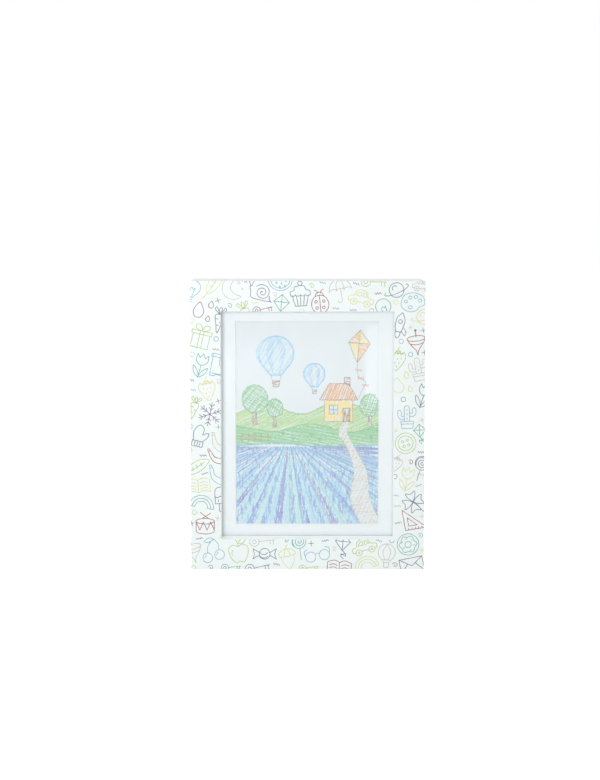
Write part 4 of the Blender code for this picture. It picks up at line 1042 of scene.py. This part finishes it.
class Drawing:
    """A sheet's wax, as a grid of pressure and colour that strokes build up, and the pencil lines on it.

    Its points are in millimetres from the middle of the sheet.
    """

    def __init__(self, pitch, place, seed):
        half_width, half_height = SHEET_HALF_WIDTH / MM, SHEET_HALF_HEIGHT / MM
        self.x = np.linspace(-half_width, half_width, round(2 * half_width / pitch) + 1)
        self.z = np.linspace(-half_height, half_height, round(2 * half_height / pitch) + 1)
        self.pressure = np.zeros((len(self.z), len(self.x)))
        self.reserved = np.zeros_like(self.pressure)
        self.wax = np.ones((len(self.z), len(self.x), 3))
        self.lines = RaisedLines(PENCIL_LIFT, place)
        self.place = place
        self.random = np.random.default_rng(seed)

    def inside(self, outline):
        """True for the grid's points inside an outline."""
        x, z = self.x[None, :], self.z[:, None]
        within = np.zeros(self.pressure.shape, bool)
        for (ax, az), (bx, bz) in zip(outline, outline[1:] + outline[:1]):
            if az != bz:
                within ^= ((az > z) != (bz > z)) & (x < (bx - ax) * (z - az) / (bz - az) + ax)
        return within

    def keep_off(self, *outlines):
        """From now on strokes stop at these outlines. With none, they go everywhere."""
        self.reserved[:] = 0
        for outline in outlines:
            self.reserved[self.inside(outline)] = RESERVED_SHARE

    def stroke(self, points, width, strength, colour):
        """One stroke of wax along points, over what is there."""
        points = np.asarray(points, float)
        low, high = points.min(0) - width, points.max(0) + width
        columns = slice(*np.searchsorted(self.x, (low[0], high[0])))
        rows = slice(*np.searchsorted(self.z, (low[1], high[1])))
        x, z = self.x[columns][None, :], self.z[rows][:, None]
        if not x.size or not z.size:
            return
        nearest = np.full((z.size, x.size), np.inf)
        for (ax, az), (bx, bz) in zip(points, points[1:]):
            dx, dz = bx - ax, bz - az
            share = np.clip(((x - ax) * dx + (z - az) * dz) / max(dx * dx + dz * dz, 1e-9), 0, 1)
            nearest = np.minimum(nearest, (x - ax - share * dx) ** 2 + (z - az - share * dz) ** 2)
        body = np.clip(1.25 - 1.25 * nearest / (width / 2) ** 2, 0, 1) * strength
        body *= 1 - self.reserved[rows, columns]
        under = self.pressure[rows, columns]
        share = (body / np.maximum(body + 0.45 * under, 1e-6))[..., None]
        self.wax[rows, columns] = self.wax[rows, columns] * (1 - share) + np.asarray(WAX[colour]) * share
        self.pressure[rows, columns] = 1 - (1 - under) * (1 - body)

    def shaky(self, points, pitch, shake):
        """A line with the wobble of a young hand. Its ends stay where they are."""
        points = resampled(points, pitch)
        wander = np.cumsum(self.random.normal(0, shake, points.shape), 0)
        return points + wander - np.linspace(0, 1, len(points))[:, None] * wander[-1]

    def crayon(self, points, width, strength, colour):
        """A line drawn with the crayon's tip."""
        self.stroke(self.shaky(points, CRAYON_PITCH, CRAYON_SHAKE), width, strength, colour)

    def pencil(self, *strokes, width=PENCIL_WIDTH):
        """Lines drawn in pencil."""
        for stroke in strokes:
            for run in split_at_corners(stroke):
                self.lines.add(self.shaky(run, PENCIL_PITCH, PENCIL_SHAKE), width, self.random.uniform(0, 6))

    def hatch(self, outline, angle, spacing, width, strength, colour, bow=0.0, loose=1.0):
        """Fills an outline with strokes at an angle, each a little off in place, length, bow and pressure."""
        angle = math.radians(angle)
        turn = np.array([[math.cos(angle), -math.sin(angle)], [math.sin(angle), math.cos(angle)]])
        shape = np.asarray(outline, float) @ turn
        level = shape[:, 1].min() + spacing / 2
        while level < shape[:, 1].max():
            a, b = shape, np.roll(shape, -1, 0)
            crossing = (a[:, 1] <= level) != (b[:, 1] <= level)
            a, b = a[crossing], b[crossing]
            ends = np.sort(a[:, 0] + (level - a[:, 1]) / (b[:, 1] - a[:, 1]) * (b[:, 0] - a[:, 0]))
            for start, stop in zip(ends[::2], ends[1::2]):
                if stop - start < width / 2:
                    continue
                start += self.random.normal(0, loose)
                stop += self.random.normal(0, loose)
                share = np.linspace(0, 1, max(3, round(abs(stop - start) / 6)))
                lean = self.random.normal(0, 0.5) * (share - 0.5) * 2
                rise = (bow + self.random.normal(0, 0.25)) * 4 * share * (1 - share)
                line = np.c_[start + (stop - start) * share, level + lean + rise]
                press = min(1.0, strength * self.random.uniform(0.65, 1.2))
                self.stroke(line @ turn.T, width * self.random.uniform(0.85, 1.2), press, colour)
            level += spacing * self.random.uniform(0.75, 1.25)

    def sheet(self, name, body, slot, material, replaces=()):
        """The sheet as a closed thin slab whose front carries the wax, and the pencil lines on it."""
        rows, columns = self.pressure.shape
        x, z = np.meshgrid(self.x, self.z)
        front = self.place(x.ravel(), z.ravel(), 0.0)
        index = np.arange(rows * columns).reshape(rows, columns)
        faces = np.stack([index[:-1, :-1], index[:-1, 1:], index[1:, 1:], index[1:, :-1]], -1).reshape(-1, 4)
        rim = np.r_[index[0, :-1], index[:-1, -1], index[-1, :0:-1], index[:0:-1, 0]]
        back = front[rim] + (0, SHEET_THICKNESS, 0)
        under = rows * columns + np.arange(len(rim))
        sides = np.stack([rim, under, np.roll(under, -1), np.roll(rim, -1)], -1)
        mesh = bpy.data.meshes.new(name)
        mesh.from_pydata(np.concatenate([front, back]), [], faces.tolist() + sides.tolist() + [under[::-1].tolist()])
        pressure = np.r_[self.pressure.ravel(), np.zeros(len(rim))].astype(np.float32)
        wax = np.ones((len(mesh.vertices), 4), np.float32)
        wax[:rows * columns, :3] = self.wax.reshape(-1, 3)
        mesh.attributes.new("pressure", "FLOAT", "POINT").data.foreach_set("value", pressure)
        mesh.attributes.new("wax", "FLOAT_COLOR", "POINT").data.foreach_set("color", wax.ravel())
        add_piece(mesh, material, body, replaces, smooth_angle=None)
        self.lines.piece(name + "_pencil", pencil_lead(), body, slot)


def valley(sheet):
    """A field in rows, hills, a house with trees, two balloons and a kite."""
    walls, roof, door, pane, chimney = strokes_of(
        "L 24,2 64,2 64,33 24,33; L 17,33 71,33 58,56 31,56; L 50,2 60,2 60,21 50,21;"
        "L 31,13 43,13 43,25 31,25; L 52,56 60,53 60,65 52,65"
    )
    crowns = strokes_of("C -74,34 18 1.1; C -46,22 11.5 1.15; C 88,26 13 1.25")
    trunks = [
        [(x - w, low), (x + w, low), (x + w * 0.7, high), (x - w * 0.7, high)]
        for x, w, low, high in ((-74, 3.2, -2, 16), (-46, 2.2, -6, 11), (88, 2.4, -4, 12))
    ]
    far, near, field, path = strokes_of(
        "S -106,10 -60,27 -8,13 42,31 106,12; S -106,-2 -50,-12 4,-2 60,-13 106,0;"
        "S -106,-33 -40,-30 30,-35 106,-31;"
        "S 52,2 44,-14 56,-34 66,-70 62,-110 78,-150 S 108,-150 88,-108 84,-70 66,-34 56,-14 60,2"
    )

    sheet.keep_off(walls, roof, chimney, path, *crowns, *trunks)
    sheet.hatch(far + field[::-1], 6, 2.1, 3.2, 0.24, "green")
    sheet.hatch(far + near[::-1], 24, 1.5, 1.9, 0.56, "green")
    sheet.hatch(far + near[::-1], 24, 3.4, 1.5, 0.34, "yellow")
    sheet.hatch(near + field[::-1], -14, 1.4, 2.0, 0.64, "green", bow=1.2)
    sheet.hatch(near + field[::-1], -8, 4.2, 1.4, 0.42, "deep_green")
    for ridge in (far, near):
        sheet.crayon(ridge, 1.5, 0.75, "deep_green")
    plough(sheet, field)
    sheet.keep_off(*crowns)
    for trunk in trunks:
        sheet.hatch(trunk, 84, 1.3, 1.4, 0.7, "brown", loose=0.5)
    sheet.keep_off(door, pane)
    sheet.hatch(walls, 3, 1.6, 1.7, 0.75, "yellow")
    sheet.hatch(walls, 88, 3.6, 1.3, 0.3, "orange")
    sheet.keep_off()
    sheet.hatch(roof, 62, 1.7, 1.7, 0.72, "orange")
    sheet.hatch(roof, 70, 3.0, 1.4, 0.5, "brown")
    sheet.hatch(chimney, 2, 1.5, 1.4, 0.7, "brown")
    sheet.hatch(door, 88, 1.5, 1.5, 0.7, "brown", loose=0.4)
    sheet.hatch(pane, 40, 1.8, 1.5, 0.45, "pale_blue", loose=0.4)
    sheet.hatch(path, 8, 2.3, 1.9, 0.42, "sand", loose=1.6)
    sheet.hatch(path, 64, 5.0, 1.4, 0.3, "brown", loose=1.6)
    for crown, angle in zip(crowns, (50, -35, 70)):
        sheet.hatch(crown, angle, 1.6, 1.8, 0.6, "green")
        sheet.hatch(crown, angle - 80, 3.2, 1.5, 0.5, "deep_green")
        sheet.crayon(crown, 1.4, 0.8, "deep_green")

    float_balloon(sheet, -44, 98, 25, "pale_blue", "blue")
    float_balloon(sheet, 10, 70, 15, "pale_blue", "violet")
    fly_kite(sheet)
    for post in range(6):
        x = -101 + 9 * post
        sheet.crayon([(x, -27), (x + 0.5, -14)], 1.4, 0.85, "brown")
    for level in (-18, -23):
        sheet.crayon([(-104, level), (-52, level - 1.5)], 1.2, 0.8, "brown")
    for shape in (walls, roof, door, pane, chimney):
        sheet.pencil(closed(shape))
    sheet.pencil(*strokes_of("L 37,13 37,25; L 31,19 43,19; C 57.5,11 .9"))
    for trunk in trunks:
        sheet.pencil(trunk[:1] + trunk[3:], trunk[1:3])
    for x, z in ((-20, -24), (6, -19), (90, -22), (-34, -16), (18, -26), (99, -13)):
        for lean in (-3, -1, 1, 3):
            sheet.crayon([(x, z), (x + lean, z + 7 - abs(lean))], 0.9, 0.8, "deep_green")


def plough(sheet, edge):
    """Rows of lavender that run together towards the far edge of the field."""
    far_x, far_z, near_z, pitch = -26, -20, -152, 21

    def along(row, z):
        return far_x + row * pitch * (far_z - z) / (far_z - near_z)

    sheet.hatch(edge + [(106, near_z), (-106, near_z)], 5, 2.2, 3.4, 0.28, "aqua")
    levels = [-34 - 118 * (k / 12) ** 1.35 for k in range(13)]
    for row in range(-40, 64):
        left = [(along(row, z), z) for z in levels if abs(along(row + 0.5, z)) < 122]
        right = [(along(row + 0.52, z), z) for _, z in left]
        if len(left) < 2:
            continue
        gap = right + [(along(row + 1, z), z) for _, z in left][::-1]
        angle = math.degrees(math.atan2(left[-1][1] - left[0][1], left[-1][0] - left[0][0]))
        bloom = ("aqua", "blue", "pale_blue", "violet")[row % 4]
        sheet.hatch(gap, angle, 1.7, 2.2, 0.44, "pale_blue" if row % 3 else "aqua", loose=0.8)
        sheet.hatch(left + right[::-1], angle, 1.7, 2.0, 0.5, bloom, loose=1.5)
        for (_, z), (_, after) in zip(left, left[1:]):
            depth = (far_z - z) / (far_z - near_z)
            clumps = max(1, round(pitch * 0.52 * depth / 2.6))
            for _ in range(clumps * (1 + round(1.4 * depth))):
                foot = sheet.random.uniform(after, z)
                x = along(row + 0.52 * sheet.random.uniform(0.1, 0.9), foot)
                length = (2.5 + 10 * depth) * sheet.random.uniform(0.7, 1.2)
                lean = sheet.random.normal(0, 0.14) * length
                colour = ("violet", "blue", "indigo", "blue")[sheet.random.integers(4)]
                top = min(foot + length, -33)
                press = sheet.random.uniform(0.25, 0.7)
                sheet.stroke([(x, foot), (x + lean * 0.4, (foot + top) / 2), (x + lean, top)], 1.4, press, colour)
        sheet.crayon(left, 1.2, 0.45, "indigo" if row % 2 else "blue")
    sheet.crayon(edge, 1.4, 0.7, "blue")


def float_balloon(sheet, x, z, size, pale, strong):
    """A hot-air balloon in two blues, with its basket in pencil. Its shapes are in sizes from its middle."""
    def sized(*points):
        return [(x + size * across, z + size * up) for across, up in points]

    neck = sized((-0.28, -1.22), (0.28, -1.22))
    outline = arc(x, z, size, -38, 218) + neck
    sheet.hatch(outline, 56, 1.9, 2.0, 0.5, pale, loose=1.4)
    for side in (-1, 1):
        gore = smooth(*sized((0, 1), (side * 0.52, 0.2), (side * 0.14, -1.2)))
        back = smooth(*sized((0, 1), (side * 0.2, 0), (side * 0.05, -1.2)))
        sheet.hatch(gore + back[::-1], 60, 2.6, 1.5, 0.36, strong, loose=0.5)
        sheet.crayon(gore, 1.5, 0.6, pale)
    sheet.crayon(closed(outline), 2.6, 0.75, pale)
    sheet.crayon(closed(outline), 1.5, 0.55, "blue")
    basket = sized((-0.2, -1.52), (0.2, -1.52), (0.16, -1.86), (-0.16, -1.86))
    sheet.hatch(basket, 2, 1.5, 1.4, 0.7, "brown", loose=0.3)
    sheet.pencil(closed(basket))
    for rope in zip(neck, basket):
        sheet.pencil(list(rope), width=0.45)


def fly_kite(sheet):
    """A yellow and orange kite near the top right, with a long string."""
    top, right, low, left = corners = [(74, 132), (88, 112), (70, 86), (58, 114)]
    middle = (72.5, 113)
    for here, after, colour, angle in zip(corners, corners[1:] + [top], ("yellow", "orange") * 2, (35, -40) * 2):
        sheet.hatch([here, after, middle], angle, 1.6, 1.7, 0.66, colour, loose=0.5)
    sheet.pencil(closed(corners), [top, middle, low], [left, middle, right])
    sheet.pencil(smooth(low, (72, 66), (82, 58), (76, 44), (72, 34)), width=0.42)
    for x, z in ((72.2, 75), (75, 64), (81.5, 54)):
        bow = [(x, z), (x + 4, z + 2), (x + 4, z - 2), (x - 4, z + 2), (x - 4, z - 2), (x, z)]
        sheet.crayon(bow, 1.2, 0.8, "red")


def garden(sheet):
    """A rainbow over a hill with tulips: the sheet on top of the stored ones."""
    hill, = strokes_of("S -106,-52 -50,-30 10,-36 60,-24 106,-44")
    ground = hill + [(106, -150), (-106, -150)]
    blooms = [
        (-78, -96, "red"), (-48, -112, "orange"), (-16, -98, "violet"),
        (18, -114, "red"), (52, -98, "yellow"), (82, -112, "violet"),
    ]
    head_shape, = strokes_of("S -9,34 -9,22 0,15 9,22 9,34 L 4,27 0,35 -4,27")
    heads = [placed(head_shape, x, z) for x, z, _ in blooms]
    sheet.keep_off(*heads)
    sheet.hatch(ground, 12, 2.2, 2.0, 0.5, "green", loose=2)
    sheet.hatch(ground, -30, 4.5, 1.6, 0.4, "deep_green", loose=2)
    sheet.crayon(hill, 1.8, 0.7, "deep_green")
    sheet.keep_off(ground)
    for ring, colour in enumerate(("red", "orange", "yellow", "green", "blue", "violet")):
        for lane in range(5):
            sheet.crayon(arc(4, -36, 88 - 8 * ring - 1.5 * lane, 1, 179), 2.1, 0.62, colour)
    sheet.keep_off()
    leaf_shape, = strokes_of("S 0,-12 10,-2 14,12 5,2 0,-12")
    for (x, z, colour), head in zip(blooms, heads):
        sheet.hatch(head, 75, 1.7, 1.8, 0.75, colour, loose=0.4)
        sheet.crayon([(x, z + 16), (x + 1, z - 14)], 1.8, 0.85, "deep_green")
        leaf = placed(leaf_shape, x, z)
        sheet.hatch(leaf, 60, 1.6, 1.6, 0.7, "deep_green", loose=0.3)
        sheet.pencil(closed(head), leaf)
    for puff in strokes_of("@-62,112 @58,96 @-10,124 S -20,0 -14,9 -3,8 4,14 14,8 21,0 0,-5 -20,0"):
        sheet.hatch(puff, 30, 2.2, 2.0, 0.5, "pale_blue")
        sheet.crayon(puff, 2.2, 0.8, "pale_blue")
        sheet.crayon(puff, 1.7, 0.75, "blue")


def drawn_sheets():
    """The drawing on show, and the one on top of the stored stack."""
    wax = crayon_paper()
    shown_y = (SHEET_LOW.y + SHEET_HIGH.y - SHEET_THICKNESS) / 2
    low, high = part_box("stored_sheets")
    middle = (low + high) / 2

    def on_shown(x, z, lift):
        return np.c_[x * MM, np.full(np.shape(x), shown_y - lift), z * MM + MIDDLE_Z]

    def on_stored(x, z, lift):
        return np.c_[x * MM + middle.x, np.full(np.shape(x), low.y + TOP_SHEET_DEPTH - lift), z * MM + middle.z]

    shown = Drawing(SHOWN_PITCH, on_shown, SHOWN_SEED)
    valley(shown)
    shown.sheet("drawing_on_show", "door", "drawing_paper", wax, ("displayed_sheet",))
    stored = Drawing(STORED_PITCH, on_stored, STORED_SEED)
    garden(stored)
    stored.sheet("stored_top_drawing", "box", "stored_paper", wax)


def stored_stack():
    """The sheets below the top one, each a little out of line."""
    low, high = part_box("stored_sheets")
    middle = (low + high) / 2
    rng = random.Random(STACK_SEED)
    step = (high.y - low.y) / STACK_SHEETS
    size = (2 * SHEET_HALF_WIDTH - STACK_SHIFT, step * SHEET_SHARE, 2 * SHEET_HALF_HEIGHT - STACK_SHIFT)
    bm = bmesh.new()
    for number in range(1, STACK_SHEETS):
        turn = math.radians(rng.uniform(-STACK_TURN, STACK_TURN))
        shift_x, shift_z = (rng.uniform(-STACK_SHIFT, STACK_SHIFT) for _ in range(2))
        sheet = bmesh.ops.create_cube(bm, size=1.0)["verts"]
        bmesh.ops.scale(bm, vec=size, verts=sheet)
        bmesh.ops.rotate(bm, matrix=Matrix.Rotation(turn, 3, "Y"), verts=sheet)
        place = (middle.x + shift_x, low.y + (number + 0.5) * step, middle.z + shift_z)
        bmesh.ops.translate(bm, vec=place, verts=sheet)
    paper = plain_paper("stored_paper", (0.80, 0.83, 0.83), True)
    add_piece(mesh_from("stored_stack", bm), paper, "box", ("stored_sheets",))


# The straps


def elastic_strap(level, material):
    """Ribbed woven elastic across the stack, with its ends bent back along the walls under the staples."""
    low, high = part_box("elastic_strap_" + level)
    x = high.x - STRAP_THICKNESS / 2
    front = low.y + STRAP_THICKNESS / 2
    corner = [
        (x - STRAP_BEND + STRAP_BEND * math.cos(angle), front + STRAP_BEND - STRAP_BEND * math.sin(angle))
        for angle in np.linspace(0, math.pi / 2, BEND_POINTS)
    ]
    half = [(x, high.y), (x, front + STRAP_BEND * 2)] + corner
    path = resampled(half + mirrored(half)[::-1], STRAP_PITCH)
    along = headings(path)
    across = np.linspace(-1, 1, RIB_POINTS * STRAP_RIBS + 1)
    ribs = np.abs(np.sin(across * STRAP_RIBS * math.pi / 2))
    depth = STRAP_THICKNESS / 2 - RIB_HEIGHT + RIB_HEIGHT * ribs
    # The edges are rounded off
    depth *= np.clip((1 - np.abs(across)) * 18, 0.25, 1.0) ** 0.5
    rim = np.r_[depth, -depth[::-1]]
    points = np.empty((len(path), len(rim), 3))
    points[:, :, 0] = path[:, [0]] - along[:, [1]] * rim
    points[:, :, 1] = path[:, [1]] + along[:, [0]] * rim
    points[:, :, 2] = (low.z + high.z) / 2 + np.r_[across, across[::-1]] * (high.z - low.z) / 2
    mesh = bpy.data.meshes.new("woven_strap_" + level)
    mesh.from_pydata(points.reshape(-1, 3), [], tube_faces(len(path), len(rim)))
    run = np.r_[0, np.cumsum(np.hypot(*np.diff(path, axis=0).T))].astype(np.float32)
    mesh.attributes.new("along", "FLOAT", "POINT").data.foreach_set("value", np.repeat(run, len(rim)))
    add_piece(mesh, material, "box", ("elastic_strap_" + level,), smooth_angle=50)


# The pieces that keep their CAD shape


def finish_cad_nodes():
    """Gives every CAD node that stays its material, by the first words of its name."""
    steel = metal("steel", (0.32, 0.32, 0.325), 0.28, 0.44, (1.0, 1.0, 0.1))
    zinc = metal("zinc", (0.36, 0.372, 0.388), 0.32, 0.48, spangle=0.5)
    finishes = {
        "box_": box_lacquer(),
        "door_": fibreboard(),
        "back_panel": hardboard(),
        "mat_board": mat_card(),
        "clear_cover": clear_cover(),
        "corner_pocket": plain_paper("pocket_card", (0.70, 0.74, 0.75)),
        "magnet": metal("magnet", (0.38, 0.37, 0.35), 0.24, 0.38),
        "panel_point": steel,
        "mat_point": steel,
        "strap_staple": steel,
        "strike_disc": zinc,
        "sawtooth_hanger": zinc,
        "hanger_rivet": zinc,
        "hinge": zinc,
    }
    for name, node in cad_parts.items():
        for start, material in finishes.items():
            if name.startswith(start):
                node.data.materials.clear()
                node.data.materials.append(material)
                break


# The stage


def stage():
    """A white floor that keeps the frame's shadow, a white surround, soft lamps and the camera."""
    bm = bmesh.new()
    bmesh.ops.create_grid(bm, x_segments=1, y_segments=1, size=FLOOR_REACH)
    floor = link(bpy.data.objects.new("floor", mesh_from("floor", bm)))
    finish = Finish("floor", (0.82, 0.83, 0.83), 0.9)
    glow = finish.node("Emission", {"Color": WHITE, "Strength": finish.times(finish.seen(), FLOOR_GLOW)})
    diffuse = finish.node("BsdfDiffuse", {"Color": finish.mottled(0.01, 3)})
    finish.show(finish.node("AddShader", {0: diffuse.outputs[0], 1: glow.outputs[0]}))
    floor.data.materials.append(finish.material)

    scene = bpy.context.scene
    scene.world = bpy.data.worlds.new("surround")
    scene.world.use_nodes = True
    surround = Nodes(scene.world.node_tree)
    background = surround.tree.nodes["Background"]
    surround.put(background.inputs["Color"], WHITE)
    surround.put(background.inputs["Strength"], surround.ramp(surround.seen(), 0.0, 1.0, SURROUND))

    aim = Vector((0, 0, MIDDLE_Z))
    for name, place, size, watts in LAMPS:
        lamp = bpy.data.lights.new(name, "AREA")
        lamp.shape = "RECTANGLE"
        lamp.size, lamp.size_y = size
        lamp.energy = watts
        obj = link(bpy.data.objects.new(name, lamp))
        obj.location = place
        obj.rotation_euler = (aim - obj.location).to_track_quat("-Z", "Y").to_euler()
        obj.visible_camera = False

    camera = link(bpy.data.objects.new("camera", bpy.data.cameras.new("camera")))
    camera.location = CAMERA_PLACE
    camera.rotation_euler = (math.radians(90 - CAMERA_PITCH), 0, 0)
    camera.data.lens = CAMERA_LENS
    camera.data.shift_x, camera.data.shift_y = CAMERA_SHIFT
    camera.data.clip_start = CAMERA_NEAR
    scene.camera = camera
    scene.view_settings.view_transform = "Standard"


stage()
finish_cad_nodes()
paper = wrap_paper()
printed_wrap(paper)
wrap_folds(paper)
printed_border()
drawn_sheets()
stored_stack()
elastic = woven_elastic()
for level in ("upper", "lower"):
    elastic_strap(level, elastic)
